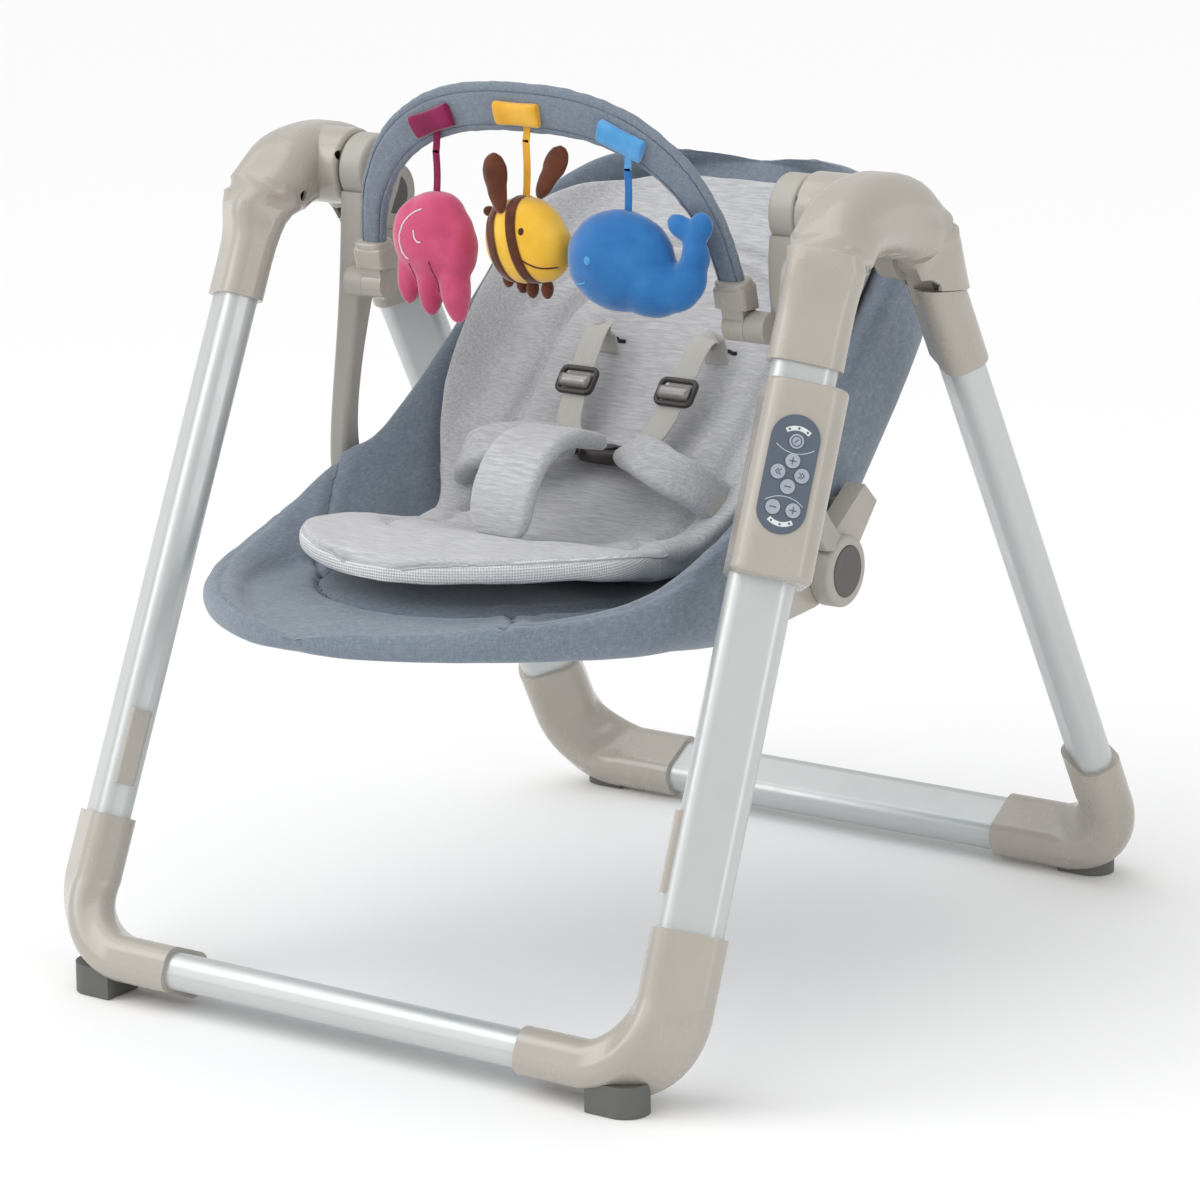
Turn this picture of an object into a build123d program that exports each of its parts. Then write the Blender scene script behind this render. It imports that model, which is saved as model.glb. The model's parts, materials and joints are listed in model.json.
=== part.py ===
"""Folding baby swing: two U-shaped frames, a swinging reclining seat, a toy bar and a control box.

Millimetres, +Z up, +X to the child's left, the child faces -Y. The nodes are written with the
origin on the floor, under the middle of the object's box.
"""
from build123d import *
import os
from math import cos, pi, radians, sin

# ---- driving dimensions -------------------------------------------------------------------
HALF_WIDTH = 302.0          # leg axis to the middle, at the crossbars
TOP_HALF_WIDTH = 291.0      # leg axis to the middle, at SLEEVE_Z
BAR_Z = 30.0                # crossbar axis above the floor
BAR_Y = 386.0               # crossbar axis from the middle, front and back
SLEEVE_Z = 600.0            # height at which the leg axes are given
FRONT_TOP_Y = -147.0        # front leg axis at SLEEVE_Z
REAR_TOP_Y = 49.5           # rear leg axis at SLEEVE_Z

TUBE_LONG = 54.0            # oval frame tube
TUBE_SHORT = 32.0
TUBE_WALL = 1.6
TUBE_CORNER = 13.0
TUBE_TURN = 35.0            # how far a leg's broad face turns outward from the front or the back
COVER = 4.0                 # plastic wall over a tube

SWING_AXIS = (-57.0, 673.0)     # y, z of the swing pivots
FOLD_AXIS = (28.0, 636.0)       # y, z of the rear frame's pivots
RECLINE_AXIS = (-42.0, 370.0)   # y, z of the seat's pivots
TOY_AXIS = (-92.0, 579.0)       # y, z of the toy bar's pivots

ARM_IN, ARM_OUT = 208.0, 234.0  # swing arm's head, from the middle
HUB_FACE = 235.0                # hub's inner face
HUB_CORE_X = 286.0              # middle of the hub's arch
HUB_SPLIT_X = 298.0             # inner cover meets outer shell here
HUB_WALL = 3.2
KNUCKLE_IN, KNUCKLE_OUT = 276.0, 300.0

GAP = 0.3                   # clearance between parts that move past each other
FIT = 0.05                  # running clearance, radial

GEAR_MODULE = 1.0
SECTOR_TEETH = 40
PINION_TEETH = 12
GEAR_WIDTH = 7.0
GEAR_X = 258.0              # inner face of the gears
GEAR_SPACING = GEAR_MODULE * (SECTOR_TEETH + PINION_TEETH) / 2 + 0.15

KNUCKLE_BOSS = 28.0         # radius of the knuckle's round boss
COVER_SCREWS = ((-83.0, 686.0), (-108.0, 652.0))    # y, z of the hub cover's screws

BOX_ALONG = (406.0, 566.0)      # control box, measured up the front left leg from the crossbar
BOX_ACROSS = (-29.0, 38.0)
BOX_DEPTH = (-46.0, 32.0)
BOX_WALL = 2.6
BOX_SPLIT = -10.0
PANEL_ALONG = 489.0
PANEL_ACROSS = 1.0
PANEL_LONG, PANEL_WIDE = 97.0, 40.0
BUTTON_RADIUS = 6.0
# along and across the panel from its middle
BUTTONS = {
    "power_button": (27, 1), "volume_up_button": (11, 1), "volume_down_button": (-10, 1),
    "previous_button": (0.5, -9), "next_button": (0.5, 10.5),
    "slower_button": (-28, -7.5), "faster_button": (-28, 9),
}

# from the frames' middle, in which everything here is measured, to the middle of the object's box
ORIGIN_SHIFT = (0.0, 34.0, 0.0)

os.makedirs("parts", exist_ok=True)


# ---- helpers ------------------------------------------------------------------------------
def vec(*xyz):
    return Vector(*xyz)


def save(name, *solids):
    """Write one node: its solids side by side, unjoined."""
    pieces = [s.moved(Location(ORIGIN_SHIFT)) for shape in solids for s in shape.solids()]
    export_step(Compound(children=pieces) if len(pieces) > 1 else pieces[0], f"parts/{name}.step")


def flip(shape):
    """The same piece for the child's right."""
    return mirror(shape, about=Plane.YZ)


def save_pair(name, shape):
    save(f"{name}_left", shape)
    save(f"{name}_right", flip(shape))


def oval(plane, long, short, corner=None):
    limit = min(long, short) / 2 - 0.2
    return plane * RectangleRounded(long, short, min(corner or TUBE_CORNER, limit))


def x_disc(y, z, radius, x_from, x_to):
    """A cylinder about a line along X."""
    return Pos((x_from + x_to) / 2, y, z) * Rot(0, 90, 0) * Cylinder(radius, abs(x_to - x_from))


def x_slab(points, x_from, x_to):
    """A closed outline in y, z, thickened along X."""
    face = make_face(Polyline(*[(x_from, y, z) for y, z in points], close=True))
    return extrude(face, amount=abs(x_to - x_from), dir=(1 if x_to > x_from else -1, 0, 0))


def block(x, y, z):
    """A box given by its three ranges."""
    size = [b - a for a, b in (x, y, z)]
    return Pos(*[(a + b) / 2 for a, b in (x, y, z)]) * Box(*size)


# ---- leg axes -----------------------------------------------------------------------------
class Leg:
    """One leg's axis and the directions of its oval section, on the child's left."""

    def __init__(self, bar_y, top_y):
        self.base = vec(HALF_WIDTH, bar_y, BAR_Z)
        self.up = (vec(TOP_HALF_WIDTH, top_y, SLEEVE_Z) - self.base).normalized()
        side = -1 if bar_y < 0 else 1
        face = vec(sin(radians(TUBE_TURN)), side * cos(radians(TUBE_TURN)), 0)
        self.face = (face - self.up * face.dot(self.up)).normalized()
        self.across = self.up.cross(self.face) * -side
        plane_up = vec(0, self.up.Y, self.up.Z).normalized()
        self.bar_up = plane_up
        self.bar_across = vec(1, 0, 0).cross(plane_up)

    def at(self, z):
        return self.base + self.up * ((z - BAR_Z) / self.up.Z)

    def section(self, z, long=TUBE_LONG, short=TUBE_SHORT, corner=None):
        return oval(Plane(self.at(z), x_dir=self.across, z_dir=self.up), long, short, corner)

    def tube(self, z_from, z_to, grow=0.0):
        start = self.section(z_from, TUBE_LONG + 2 * grow, TUBE_SHORT + 2 * grow, TUBE_CORNER + grow)
        return extrude(start, amount=(z_to - z_from) / self.up.Z, dir=self.up)


FRONT = Leg(-BAR_Y, FRONT_TOP_Y)
REAR = Leg(BAR_Y, REAR_TOP_Y)

CORNER_OPEN_X = 181.0       # crossbar end of a corner
CORNER_RIM_Z = {True: 139.0, False: 131.0}      # leg end of a corner, front and rear
BEND_RADIUS = 62.0
FRONT_SLEEVE_Z = 566.0      # lower rim of the hub's front sleeve
REAR_SLEEVE_Z = 538.0       # lower rim of the rear knuckle
KNUCKLE_TOP_Z = 603.0       # parting line of the rear knuckle and the hub


# ---- frame tubes, corners and feet --------------------------------------------------------
def leg_tube(leg, z_from, z_to):
    return leg.tube(z_from, z_to) - leg.tube(z_from - 1, z_to + 1, -TUBE_WALL)


def crossbar_solid(leg, half, grow=0.0):
    plane = Plane(vec(-half, leg.base.Y, BAR_Z), x_dir=leg.bar_across, z_dir=(1, 0, 0))
    section = oval(plane, TUBE_LONG + 2 * grow, TUBE_SHORT + 2 * grow, TUBE_CORNER + grow)
    return extrude(section, amount=2 * half, dir=(1, 0, 0))


def corner(leg, rim_z):
    """Moulded elbow from the crossbar up to the leg, with a socket for each tube."""
    long, short = TUBE_LONG + 2 * COVER, TUBE_SHORT + 2 * COVER
    start_x = HALF_WIDTH - BEND_RADIUS
    twist = radians(90 - TUBE_TURN) * (1 if leg is FRONT else -1)

    def bend_section(x_part, turn, leg_part):
        """x_part and leg_part run along the straights; turn runs 0 to 1 round the bend."""
        angle = turn * pi / 2
        out = vec(1, 0, 0) * cos(angle) + leg.up * sin(angle)
        centre = vec(start_x + BEND_RADIUS * sin(angle), leg.base.Y, BAR_Z)
        centre = centre + leg.up * (BEND_RADIUS * (1 - cos(angle))) + leg.up * leg_part
        centre = centre - vec(x_part, 0, 0)
        inward = leg.up * cos(angle) - vec(1, 0, 0) * sin(angle)
        long_dir = leg.bar_across * cos(twist * turn) + inward * sin(twist * turn)
        swell = 1 + 0.05 * sin(pi * turn)
        return oval(Plane(centre, x_dir=long_dir, z_dir=out), long * swell, short * swell, 15)

    straight = (rim_z - BAR_Z) / leg.up.Z - BEND_RADIUS
    steps = [(start_x - CORNER_OPEN_X, 0, 0)]
    steps += [(0, turn / 14, 0) for turn in range(15)]
    steps += [(0, 1, straight)]
    body = loft([bend_section(*step) for step in steps], ruled=True)
    sockets = leg.tube(rim_z - 48, rim_z + 5) + crossbar_solid(leg, CORNER_OPEN_X + 50)
    return body - sockets


def foot(leg):
    """D-shaped sole under a corner, flat side towards the middle."""
    inner_x, outer_x, depth, height = 246.0, 292.0, 40.0, 26.0
    y = leg.base.Y * 1.012
    radius = depth / 2
    outline = Pos((inner_x + outer_x - radius) / 2, y, 0) * Rectangle(outer_x - radius - inner_x, depth)
    outline = outline + Pos(outer_x - radius, y, 0) * Circle(radius)
    return extrude(outline, amount=height)


def build_frames():
    for name, leg in (("front", FRONT), ("rear", REAR)):
        front = leg is FRONT
        rim = CORNER_RIM_Z[front]
        top = SLEEVE_Z + 22 if front else KNUCKLE_TOP_Z - 10
        save_pair(f"{name}_leg", leg_tube(leg, rim - 48, top))
        bar = crossbar_solid(leg, CORNER_OPEN_X + 50) - crossbar_solid(leg, CORNER_OPEN_X + 60, -TUBE_WALL)
        save(f"{name}_crossbar", bar)
        elbow = corner(leg, rim)
        save_pair(f"{name}_corner", elbow)
        sole = foot(leg) - elbow - crossbar_solid(leg, CORNER_OPEN_X + 50)
        sole = max(sole.solids(), key=lambda s: s.volume)
        save(f"{name}_feet", sole, flip(sole))


# ---- hub: arch between the legs, with the neck that carries the swing arm ------------------
def between(before, start, end, after, share):
    """A point of the smooth curve through start and end, share of the way between them."""
    return [
        0.5 * (2 * b + (c - a) * share + (2 * a - 5 * b + 4 * c - d) * share ** 2
               + (3 * b - a - 3 * c + d) * share ** 3)
        for a, b, c, d in zip(before, start, end, after)
    ]


def hub_body(shrink=0.0):
    """The hub's outer form, or the space inside it when shrink is the wall."""
    def ring(x, y, z, out_x, out_y, out_z, wide_x, wide_y, wide_z, long, short, corner_radius):
        out = vec(out_x, out_y, out_z).normalized()
        wide = vec(wide_x, wide_y, wide_z)
        wide = (wide - out * wide.dot(out)).normalized()
        plane = Plane((x, y, z), x_dir=wide, z_dir=out)
        return oval(plane, long - 2 * shrink, short - 2 * shrink, corner_radius - shrink)

    def bend(x, y, z, out, wide, long, short, corner_radius):
        return [x, y, z, *out, *wide, long, short, corner_radius]

    def on_leg(leg, z, long, short, sense):
        return [*leg.at(z), *(leg.up * sense), *leg.across, long, short, 15]

    y, z = SWING_AXIS
    arch = [
        on_leg(FRONT, 640, 65, 54, 1),
        bend(HUB_CORE_X + 2, y - 52, z - 14, (0, 0.70, 0.70), (1, -0.35, 0), 66, 62, 24),
        bend(HUB_CORE_X + 1, y - 34, z - 3, (0, 0.90, 0.40), (1, -0.15, 0), 66, 67, 26),
        bend(HUB_CORE_X, y - 10, z + 1, (0, 1, 0.1), (1, 0, 0), 66, 69, 27),
        bend(HUB_CORE_X, y + 16, z + 1, (0, 1, -0.1), (1, 0, 0), 66, 69, 27),
        bend(HUB_CORE_X + 1, y + 42, z - 5, (0, 0.88, -0.45), (1, 0.15, 0), 66, 67, 26),
        bend(HUB_CORE_X + 2, y + 62, z - 18, (0, 0.68, -0.72), (1, 0.35, 0), 66, 61, 24),
        on_leg(REAR, 638, 66, 54, -1),
        on_leg(REAR, KNUCKLE_TOP_Z - 28, TUBE_LONG + 2 * COVER, TUBE_SHORT + 2 * COVER, -1),
    ]
    if not shrink:
        arch = [
            on_leg(FRONT, FRONT_SLEEVE_Z, TUBE_LONG + 2 * COVER, TUBE_SHORT + 2 * COVER, 1),
            on_leg(FRONT, 612, TUBE_LONG + 2 * COVER, TUBE_SHORT + 2 * COVER + 1, 1),
        ] + arch
    rings = []
    for at in range(len(arch) - 1):
        around = [arch[min(max(at + k, 0), len(arch) - 1)] for k in (-1, 0, 1, 2)]
        shares = (0, 1 / 3, 2 / 3)
        rings += [ring(*between(*around, share)) for share in shares]
    rings.append(ring(*arch[-1]))
    return loft(rings, ruled=True)


def hub_shells():
    y, z = SWING_AXIS
    neck = fillet(x_disc(y, z, 34, HUB_FACE, HUB_CORE_X + 4).edges().filter_by(GeomType.CIRCLE)
                  .sort_by(Axis.X)[0:1], 4)
    neck_space = x_disc(y, z, 30.5, HUB_FACE + HUB_WALL, HUB_CORE_X)
    fold_y, fold_z = FOLD_AXIS
    body = hub_body() + neck - hub_body(HUB_WALL) - neck_space
    body -= FRONT.tube(FRONT_SLEEVE_Z - 5, SLEEVE_Z + 22)
    body -= x_disc(y, z, 11, HUB_FACE - 1, HUB_FACE + HUB_WALL + 1)
    # room for the knuckle: its tongue, its round boss and the sweep of its upper rim
    body -= x_disc(fold_y, fold_z, 29, KNUCKLE_IN - 3, KNUCKLE_OUT + 3)
    body -= x_slab([(fold_y - 60, 560), (fold_y - 30, fold_z), (fold_y + 29, fold_z), (fold_y + 65, 560)],
                   KNUCKLE_IN - 3, KNUCKLE_OUT + 3)
    body -= x_disc(fold_y, fold_z, KNUCKLE_BOSS + GAP * 2, 240, KNUCKLE_IN)
    body -= x_slab([(0, 600), (1, 613), (9, 614), (20, 608), (22, 600)], KNUCKLE_OUT, 313)
    body -= block((230, 345), (0, 130), (500, KNUCKLE_TOP_Z))
    for screw_y, screw_z in COVER_SCREWS:
        body += x_disc(screw_y, screw_z, 6, 268, 312) & hub_body(1)
        body -= x_disc(screw_y, screw_z, 4.6, 225, 268)
        body -= x_disc(screw_y, screw_z, 1.8, 225, 300)
    # axle bush seats and the pivot pin's far seat
    bearing_wall = block((266, 270), (y - 28, y + 28), (z - 30, z + 28)) & hub_body(HUB_WALL + 0.02)
    bearing_wall -= x_disc(y, z, 11, 260, 280) + x_disc(y + GEAR_SPACING, z, 4, 260, 280)
    outer_region = block((HUB_SPLIT_X, 340), (-260, 160), (500, 760))
    sleeve_top = FRONT.at(640)
    reach = 150
    low = Plane(sleeve_top, x_dir=(1, 0, 0), z_dir=FRONT.up)
    sleeve_region = low * Pos(0, -5, -reach / 2) * Box(2 * reach, 100, reach)
    outer = body & (outer_region + sleeve_region)
    inner = (body - outer_region - sleeve_region)
    outer = max(outer.solids(), key=lambda s: s.volume)
    inner = max(inner.solids(), key=lambda s: s.volume)
    inner = max((inner + bearing_wall).solids(), key=lambda s: s.volume)
    return outer, inner


def build_hubs():
    y, z = SWING_AXIS
    outer, inner = hub_shells()
    save_pair("hub_outer", outer)
    save_pair("hub_inner", inner)
    bushes = []
    for x_from, x_to in ((HUB_FACE + 0.2, HUB_FACE + 7), (265.5, 272)):
        ring = x_disc(y, z, 11, x_from, x_to) - x_disc(y, z, 8 + FIT, x_from - 1, x_to + 1)
        bushes += [ring, flip(ring)]
    save("axle_bushes", *bushes)


# ---- rear knuckle, fold pins and fold buttons -----------------------------------------------
FOLD_BUTTON_RADIUS = 17.0
KNUCKLE_FACE = 257.0        # inner face of the knuckle's boss


def knuckle():
    """Sleeve on the rear leg, with the tongue and round boss that turn in the hub."""
    y, z = FOLD_AXIS
    long, short = TUBE_LONG + 2 * COVER, TUBE_SHORT + 2 * COVER
    length = (KNUCKLE_TOP_Z + 25 - REAR_SLEEVE_Z) / REAR.up.Z
    sleeve = extrude(REAR.section(REAR_SLEEVE_Z, long, short, 15), amount=length, dir=REAR.up)
    sleeve -= block((220, 360), (-40, 160), (KNUCKLE_TOP_Z - 1, KNUCKLE_TOP_Z + 60))
    down, side = -REAR.up, vec(0, REAR.up.Z, -REAR.up.Y)
    pivot = vec(0, y, z)
    upper, lower = pivot, pivot + down * 48
    tongue = [upper + side * 17, lower + side * 17, lower - side * 17, upper - side * 17]
    body = sleeve + x_slab([(p.Y, p.Z) for p in tongue], KNUCKLE_IN, KNUCKLE_OUT)
    body += x_disc(y, z, 22, KNUCKLE_IN, KNUCKLE_OUT)
    body += x_disc(y, z, KNUCKLE_BOSS, KNUCKLE_FACE, KNUCKLE_IN)
    body -= x_disc(y, z, FOLD_BUTTON_RADIUS + GAP, KNUCKLE_FACE - 1, KNUCKLE_FACE + 11)
    body -= x_disc(y, z, 5, KNUCKLE_FACE, KNUCKLE_OUT + 1)
    return body - REAR.tube(REAR_SLEEVE_Z - 5, KNUCKLE_TOP_Z - 10)


def build_knuckles():
    y, z = FOLD_AXIS
    save_pair("rear_knuckle", knuckle())
    pin = x_disc(y, z, 5, KNUCKLE_FACE + 12, KNUCKLE_OUT + 2)
    save("fold_pins", pin, flip(pin))
    button = x_disc(y, z, FOLD_BUTTON_RADIUS, KNUCKLE_FACE - 1, KNUCKLE_FACE + 4)
    button = fillet(button.edges().sort_by(Axis.X)[0], 1.2)
    save_pair("fold_button", button)


# ---- control box on the front left leg ------------------------------------------------------
def on_box(along, across, depth):
    return FRONT.base + FRONT.up * along + FRONT.across * across + FRONT.face * depth


def box_slab(along, across, depth, radius):
    """A block in the control box's own directions, its long edges rounded."""
    origin = on_box(along[0], sum(across) / 2, sum(depth) / 2)
    plane = Plane(origin, x_dir=FRONT.across, z_dir=FRONT.up)
    section = oval(plane, across[1] - across[0], depth[1] - depth[0], radius)
    return extrude(section, amount=along[1] - along[0], dir=FRONT.up)


def box_stud(along, across, radius, depth):
    """A round stud standing on the control box's face."""
    plane = Plane(on_box(along, across, depth[0]), x_dir=FRONT.across, z_dir=FRONT.face)
    return extrude(plane * Circle(radius), amount=depth[1] - depth[0], dir=FRONT.face)


def panel_slab(depth, grow=0.0):
    plane = Plane(on_box(PANEL_ALONG, PANEL_ACROSS, depth[0]), x_dir=FRONT.up, z_dir=FRONT.face)
    outline = SlotOverall(PANEL_LONG + 2 * grow, PANEL_WIDE + 2 * grow)
    return extrude(plane * outline, amount=depth[1] - depth[0], dir=FRONT.face)


def shrink(span, amount):
    return span[0] + amount, span[1] - amount


def build_control_box():
    outer = box_slab(BOX_ALONG, BOX_ACROSS, BOX_DEPTH, 16)
    outer = fillet(outer.edges().filter_by(GeomType.LINE, reverse=True), 5)
    space = [shrink(span, BOX_WALL) for span in (BOX_ALONG, BOX_ACROSS, BOX_DEPTH)]
    inner = box_slab(*space, 13)
    tube = FRONT.tube(BAR_Z + 300, BAR_Z + 570)
    shell = outer - inner - tube
    front_space = box_slab((380, 600), (-60, 70), (BOX_SPLIT, 60), 2)
    door_place = box_slab((418, 554), (-20, 29), (BOX_DEPTH[0] - 1, BOX_DEPTH[0] + BOX_WALL), 1)
    front = (shell & front_space) - panel_slab((BOX_DEPTH[1] - 8, BOX_DEPTH[1] + 9))
    back = shell - front_space - door_place
    save("control_box_front", max(front.solids(), key=lambda s: s.volume))
    save("control_box_back", max(back.solids(), key=lambda s: s.volume))
    door = box_slab((418.3, 553.7), (-19.7, 28.7), (BOX_DEPTH[0], BOX_DEPTH[0] + BOX_WALL - 0.1), 1)
    save("battery_door", door)

    panel = panel_slab((BOX_DEPTH[1] - 2, BOX_DEPTH[1] + 0.8), -0.1)
    for name, (along, across) in BUTTONS.items():
        place = (PANEL_ALONG + along, PANEL_ACROSS + across)
        panel -= box_stud(*place, BUTTON_RADIUS + GAP, (BOX_DEPTH[1] - 8, BOX_DEPTH[1] + 9))
        save(name, box_stud(*place, BUTTON_RADIUS, (BOX_DEPTH[1] - 4, BOX_DEPTH[1] + 1.8)))
    save("keypad_panel", panel)
    save("circuit_board", box_slab((441, 546), (-22, 26), (BOX_DEPTH[1] - 8.2, BOX_DEPTH[1] - 6.6), 1))
    save("speaker", box_stud(426, 4, 12, (17, 25)))
    cells = []
    for along in (436, 487):
        for across in (-8.8, 17.8):
            plane = Plane(on_box(along, across, -30.3), x_dir=FRONT.across, z_dir=FRONT.up)
            cells.append(extrude(plane * Circle(12.9), amount=49, dir=FRONT.up))
    save("battery_cells", *cells)
    bumper = box_slab((146, 212), (-31, -22), (-9, 9), 3) - FRONT.tube(100, 300)
    save("leg_bumpers", bumper, flip(bumper))


# ---- hub contents: screws, motor, gears -----------------------------------------------------
def gear_outline(teeth, module, x):
    """Straight-sided teeth with some backlash, as points in y, z about the gear's middle."""
    points = []
    pitch = 2 * pi / teeth
    radius = module * teeth / 2
    for tooth in range(teeth):
        for share, reach in ((-0.30, -1.15), (-0.13, 0.9), (0.13, 0.9), (0.30, -1.15)):
            angle = (tooth + share) * pitch
            length = radius + reach * module
            points.append((length * cos(angle), length * sin(angle)))
    return x_slab(points, x, x + GEAR_WIDTH)


def build_drive():
    y, z = SWING_AXIS
    pinion_y = y + GEAR_SPACING
    gear = Pos(0, y, z) * gear_outline(SECTOR_TEETH, GEAR_MODULE, GEAR_X) - x_disc(y, z, 8, 240, 280)
    save("drive_gear", gear)
    half_tooth = 180 / PINION_TEETH
    pinion = Pos(0, pinion_y, z) * Rot(half_tooth, 0, 0) * gear_outline(PINION_TEETH, GEAR_MODULE, GEAR_X)
    save("motor_pinion", pinion + x_disc(pinion_y, z, 2, GEAR_X + GEAR_WIDTH, GEAR_X + GEAR_WIDTH + 12))
    motor = x_disc(pinion_y, z, 11, 271, 303) - x_disc(pinion_y, z, 2 + FIT, 270, 280)
    save("drive_motor", motor)
    screws = []
    for screw_y, screw_z in COVER_SCREWS:
        screw = x_disc(screw_y, screw_z, 4, 264.5, 268) + x_disc(screw_y, screw_z, 1.8, 268, 296)
        screw -= x_disc(screw_y, screw_z, 1.4, 264, 266)
        screws += [screw, flip(screw)]
    save("cover_screws", *screws)


# ---- swing arms -----------------------------------------------------------------------------
RECLINE_IN, RECLINE_OUT = 244.0, 262.0      # arm's lower housing, from the middle
RECLINE_RADIUS = 31.0
RECLINE_BUTTON_RADIUS = 22.0
TOY_BOSS_FACE = 197.0
# height, x range, y range of the arm's sections
ARM_SECTIONS = (
    (655, (208.0, 234.0), (-86, -30)),
    (612, (208.5, 235.0), (-87, -51)),
    (560, (214.5, 238.0), (-87, -62)),
    (440, (231.0, 250.0), (-86, -64)),
    (392, (243.5, 261.5), (-70, -34)),
)


def arm():
    y, z = SWING_AXIS
    low_y, low_z = RECLINE_AXIS
    rings = []
    for height, (x0, x1), (y0, y1) in ARM_SECTIONS:
        rings.append(Pos((x0 + x1) / 2, (y0 + y1) / 2, height) * RectangleRounded(x1 - x0, y1 - y0, 5))
    body = loft(rings)
    head = x_disc(y, z, 31, ARM_IN, ARM_OUT)
    body += fillet(head.edges().filter_by(GeomType.CIRCLE), 4)
    # the head narrows to the arm like a drop
    drop = x_slab([(y - 31, z), (y - 30.5, z - 73), (y + 5, z - 73), (y + 28.9, z - 11.2)], ARM_IN, ARM_OUT)
    sides = [e for e in drop.edges() if abs(e.tangent_at(0.5).X) < 0.1 and z - 72 < e.center().Z < z - 12]
    body += fillet(sides, 4)
    housing = x_disc(low_y, low_z, RECLINE_RADIUS, RECLINE_IN, RECLINE_OUT)
    body += fillet(housing.edges().filter_by(GeomType.CIRCLE).sort_by(Axis.X)[-1], 4)
    body += x_disc(*TOY_AXIS, 13.5, TOY_BOSS_FACE, 216)
    body -= x_disc(low_y, low_z, 32, 220, RECLINE_IN - 0.2)
    body -= x_disc(y, z, 8, ARM_IN + 4, 250)
    body -= x_disc(low_y, low_z, RECLINE_BUTTON_RADIUS + GAP, 252, RECLINE_OUT + 5)
    body -= x_disc(low_y, low_z, 7 + FIT, 240, 253)
    return body - x_disc(*TOY_AXIS, 5 + FIT, TOY_BOSS_FACE - 2, 210)


def build_arms():
    y, z = SWING_AXIS
    save_pair("swing_arm", arm())
    axle = x_disc(y, z, 8, ARM_IN + 4, 273)
    save("swing_axles", axle, flip(axle))
    cap = x_disc(*RECLINE_AXIS, RECLINE_BUTTON_RADIUS, 257, RECLINE_OUT + 1)
    cap = fillet(cap.edges().filter_by(GeomType.CIRCLE).sort_by(Axis.X)[-1], 1.5)
    save_pair("recline_button", cap)


# ---- toy bar and toys -----------------------------------------------------------------------
BAR_LEAN = 14.5             # toy bar's forward lean
BAR_HALF, BAR_HEIGHT = 197.0, 199.0
BAND_THICK = 13.0
TOY_Y = -137.0
SIDE_STRING_TOP = 708.0     # string tops, just under the band
MIDDLE_STRING_TOP = 724.0


def arch_points(half, height, squareness, steps=28):
    """A rounded arch from foot to foot."""
    points = []
    for step in range(steps + 1):
        angle = pi * step / steps
        x, up = cos(angle), sin(angle)
        power = 2 / squareness
        points.append((half * abs(x) ** power * (1 if x > 0 else -1), height * up ** power))
    return points


def build_toy_bar():
    y, z = TOY_AXIS
    foot_height = 24.0
    plane = Plane((0, y, z), x_dir=(1, 0, 0), z_dir=(0, -cos(radians(BAR_LEAN)), -sin(radians(BAR_LEAN))))
    outer = Spline(*arch_points(BAR_HALF, BAR_HEIGHT, 2.5, 16))
    inner = Spline(*arch_points(BAR_HALF - 23, BAR_HEIGHT - 43, 2.5, 16))
    feet = [Line(outer @ end, inner @ end) for end in (0, 1)]
    face = make_face(Curve() + [outer, inner, *feet])
    band = extrude(plane * face, amount=BAND_THICK / 2, both=True)
    below = Plane((0, y, z), x_dir=(1, 0, 0), z_dir=(0, -sin(radians(BAR_LEAN)), cos(radians(BAR_LEAN))))
    band -= below * Pos(0, 0, foot_height / 2 - 50) * Box(500, 80, foot_height + 100)
    save("toy_bar_band", band)

    socket = x_disc(y, z, 13.5, 176, TOY_BOSS_FACE - GAP) + x_disc(y, z, 5, TOY_BOSS_FACE - 1, 209)
    stem = below * Pos(185.5, 0, 12) * Box(23, 20, 24 + 10)
    cover = fillet((below * Pos(185.5, 0, 20) * Box(31, 24, 34)).edges().filter_by(GeomType.LINE), 4)
    socket = socket + (stem & block((176, 196.7), (-300, 0), (400, 800))) + (
        cover & block((170, 204), (-300, 0), (z + 15, 800)))
    socket -= band
    socket = max(socket.solids(), key=lambda s: s.volume)
    save("toy_bar_sockets", socket, flip(socket))


def build_toys():
    def plump(x, z, half_x, half_y, half_z):
        return Pos(x, TOY_Y, z) * scale(Sphere(1), by=(half_x, half_y, half_z))

    def string(x, z_from, z_to):
        tape = block((x - 3, x + 3), (TOY_Y - 1, TOY_Y + 1), (z_from, z_to))
        return tape + x_disc(TOY_Y, z_to, 2.0, x - 4, x + 4)

    elephant = plump(-93, 620, 41, 27, 57) + string(-91, 660, SIDE_STRING_TOP)
    save("elephant_toy", elephant)
    bee = plump(2, 641, 41, 32, 43) + string(2, 670, MIDDLE_STRING_TOP)
    save("bee_toy", bee)
    whale = plump(103, 631, 54, 32, 47) + plump(166, 640, 22, 14, 38) + string(104, 665, SIDE_STRING_TOP)
    whale += block((130, 166), (TOY_Y - 8, TOY_Y + 8), (602, 622))
    save("whale_toy", whale)


# ---- seat -----------------------------------------------------------------------------------
SEAT_TUBE_RADIUS = 8.0
# x, y, z down the child's left side of the seat's tube ring, from the lip to the head end
SEAT_RING = (
    (110, -462, 344), (180, -395, 345), (208, -290, 346), (213, -160, 348), (213, -70, 354),
    (212, 10, 398), (202, 120, 487), (196, 205, 574), (150, 232, 624), (70, 238, 648),
)
# rim y, z; bottom y, z; half width of the fabric shell's sections, from the lip to the head end
SHELL_STATIONS = (
    ((-486, 354), (-484, 334), 45),
    ((-462, 356), (-456, 331), 118),
    ((-395, 358), (-395, 327), 190),
    ((-300, 364), (-296, 322), 214),
    ((-190, 392), (-178, 312), 221),
    ((-95, 434), (-55, 306), 221),
    ((-20, 470), (55, 372), 216),
    ((75, 556), (163, 474), 210),
    ((150, 630), (236, 556), 198),
    ((196, 672), (254, 622), 130),
)
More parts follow.
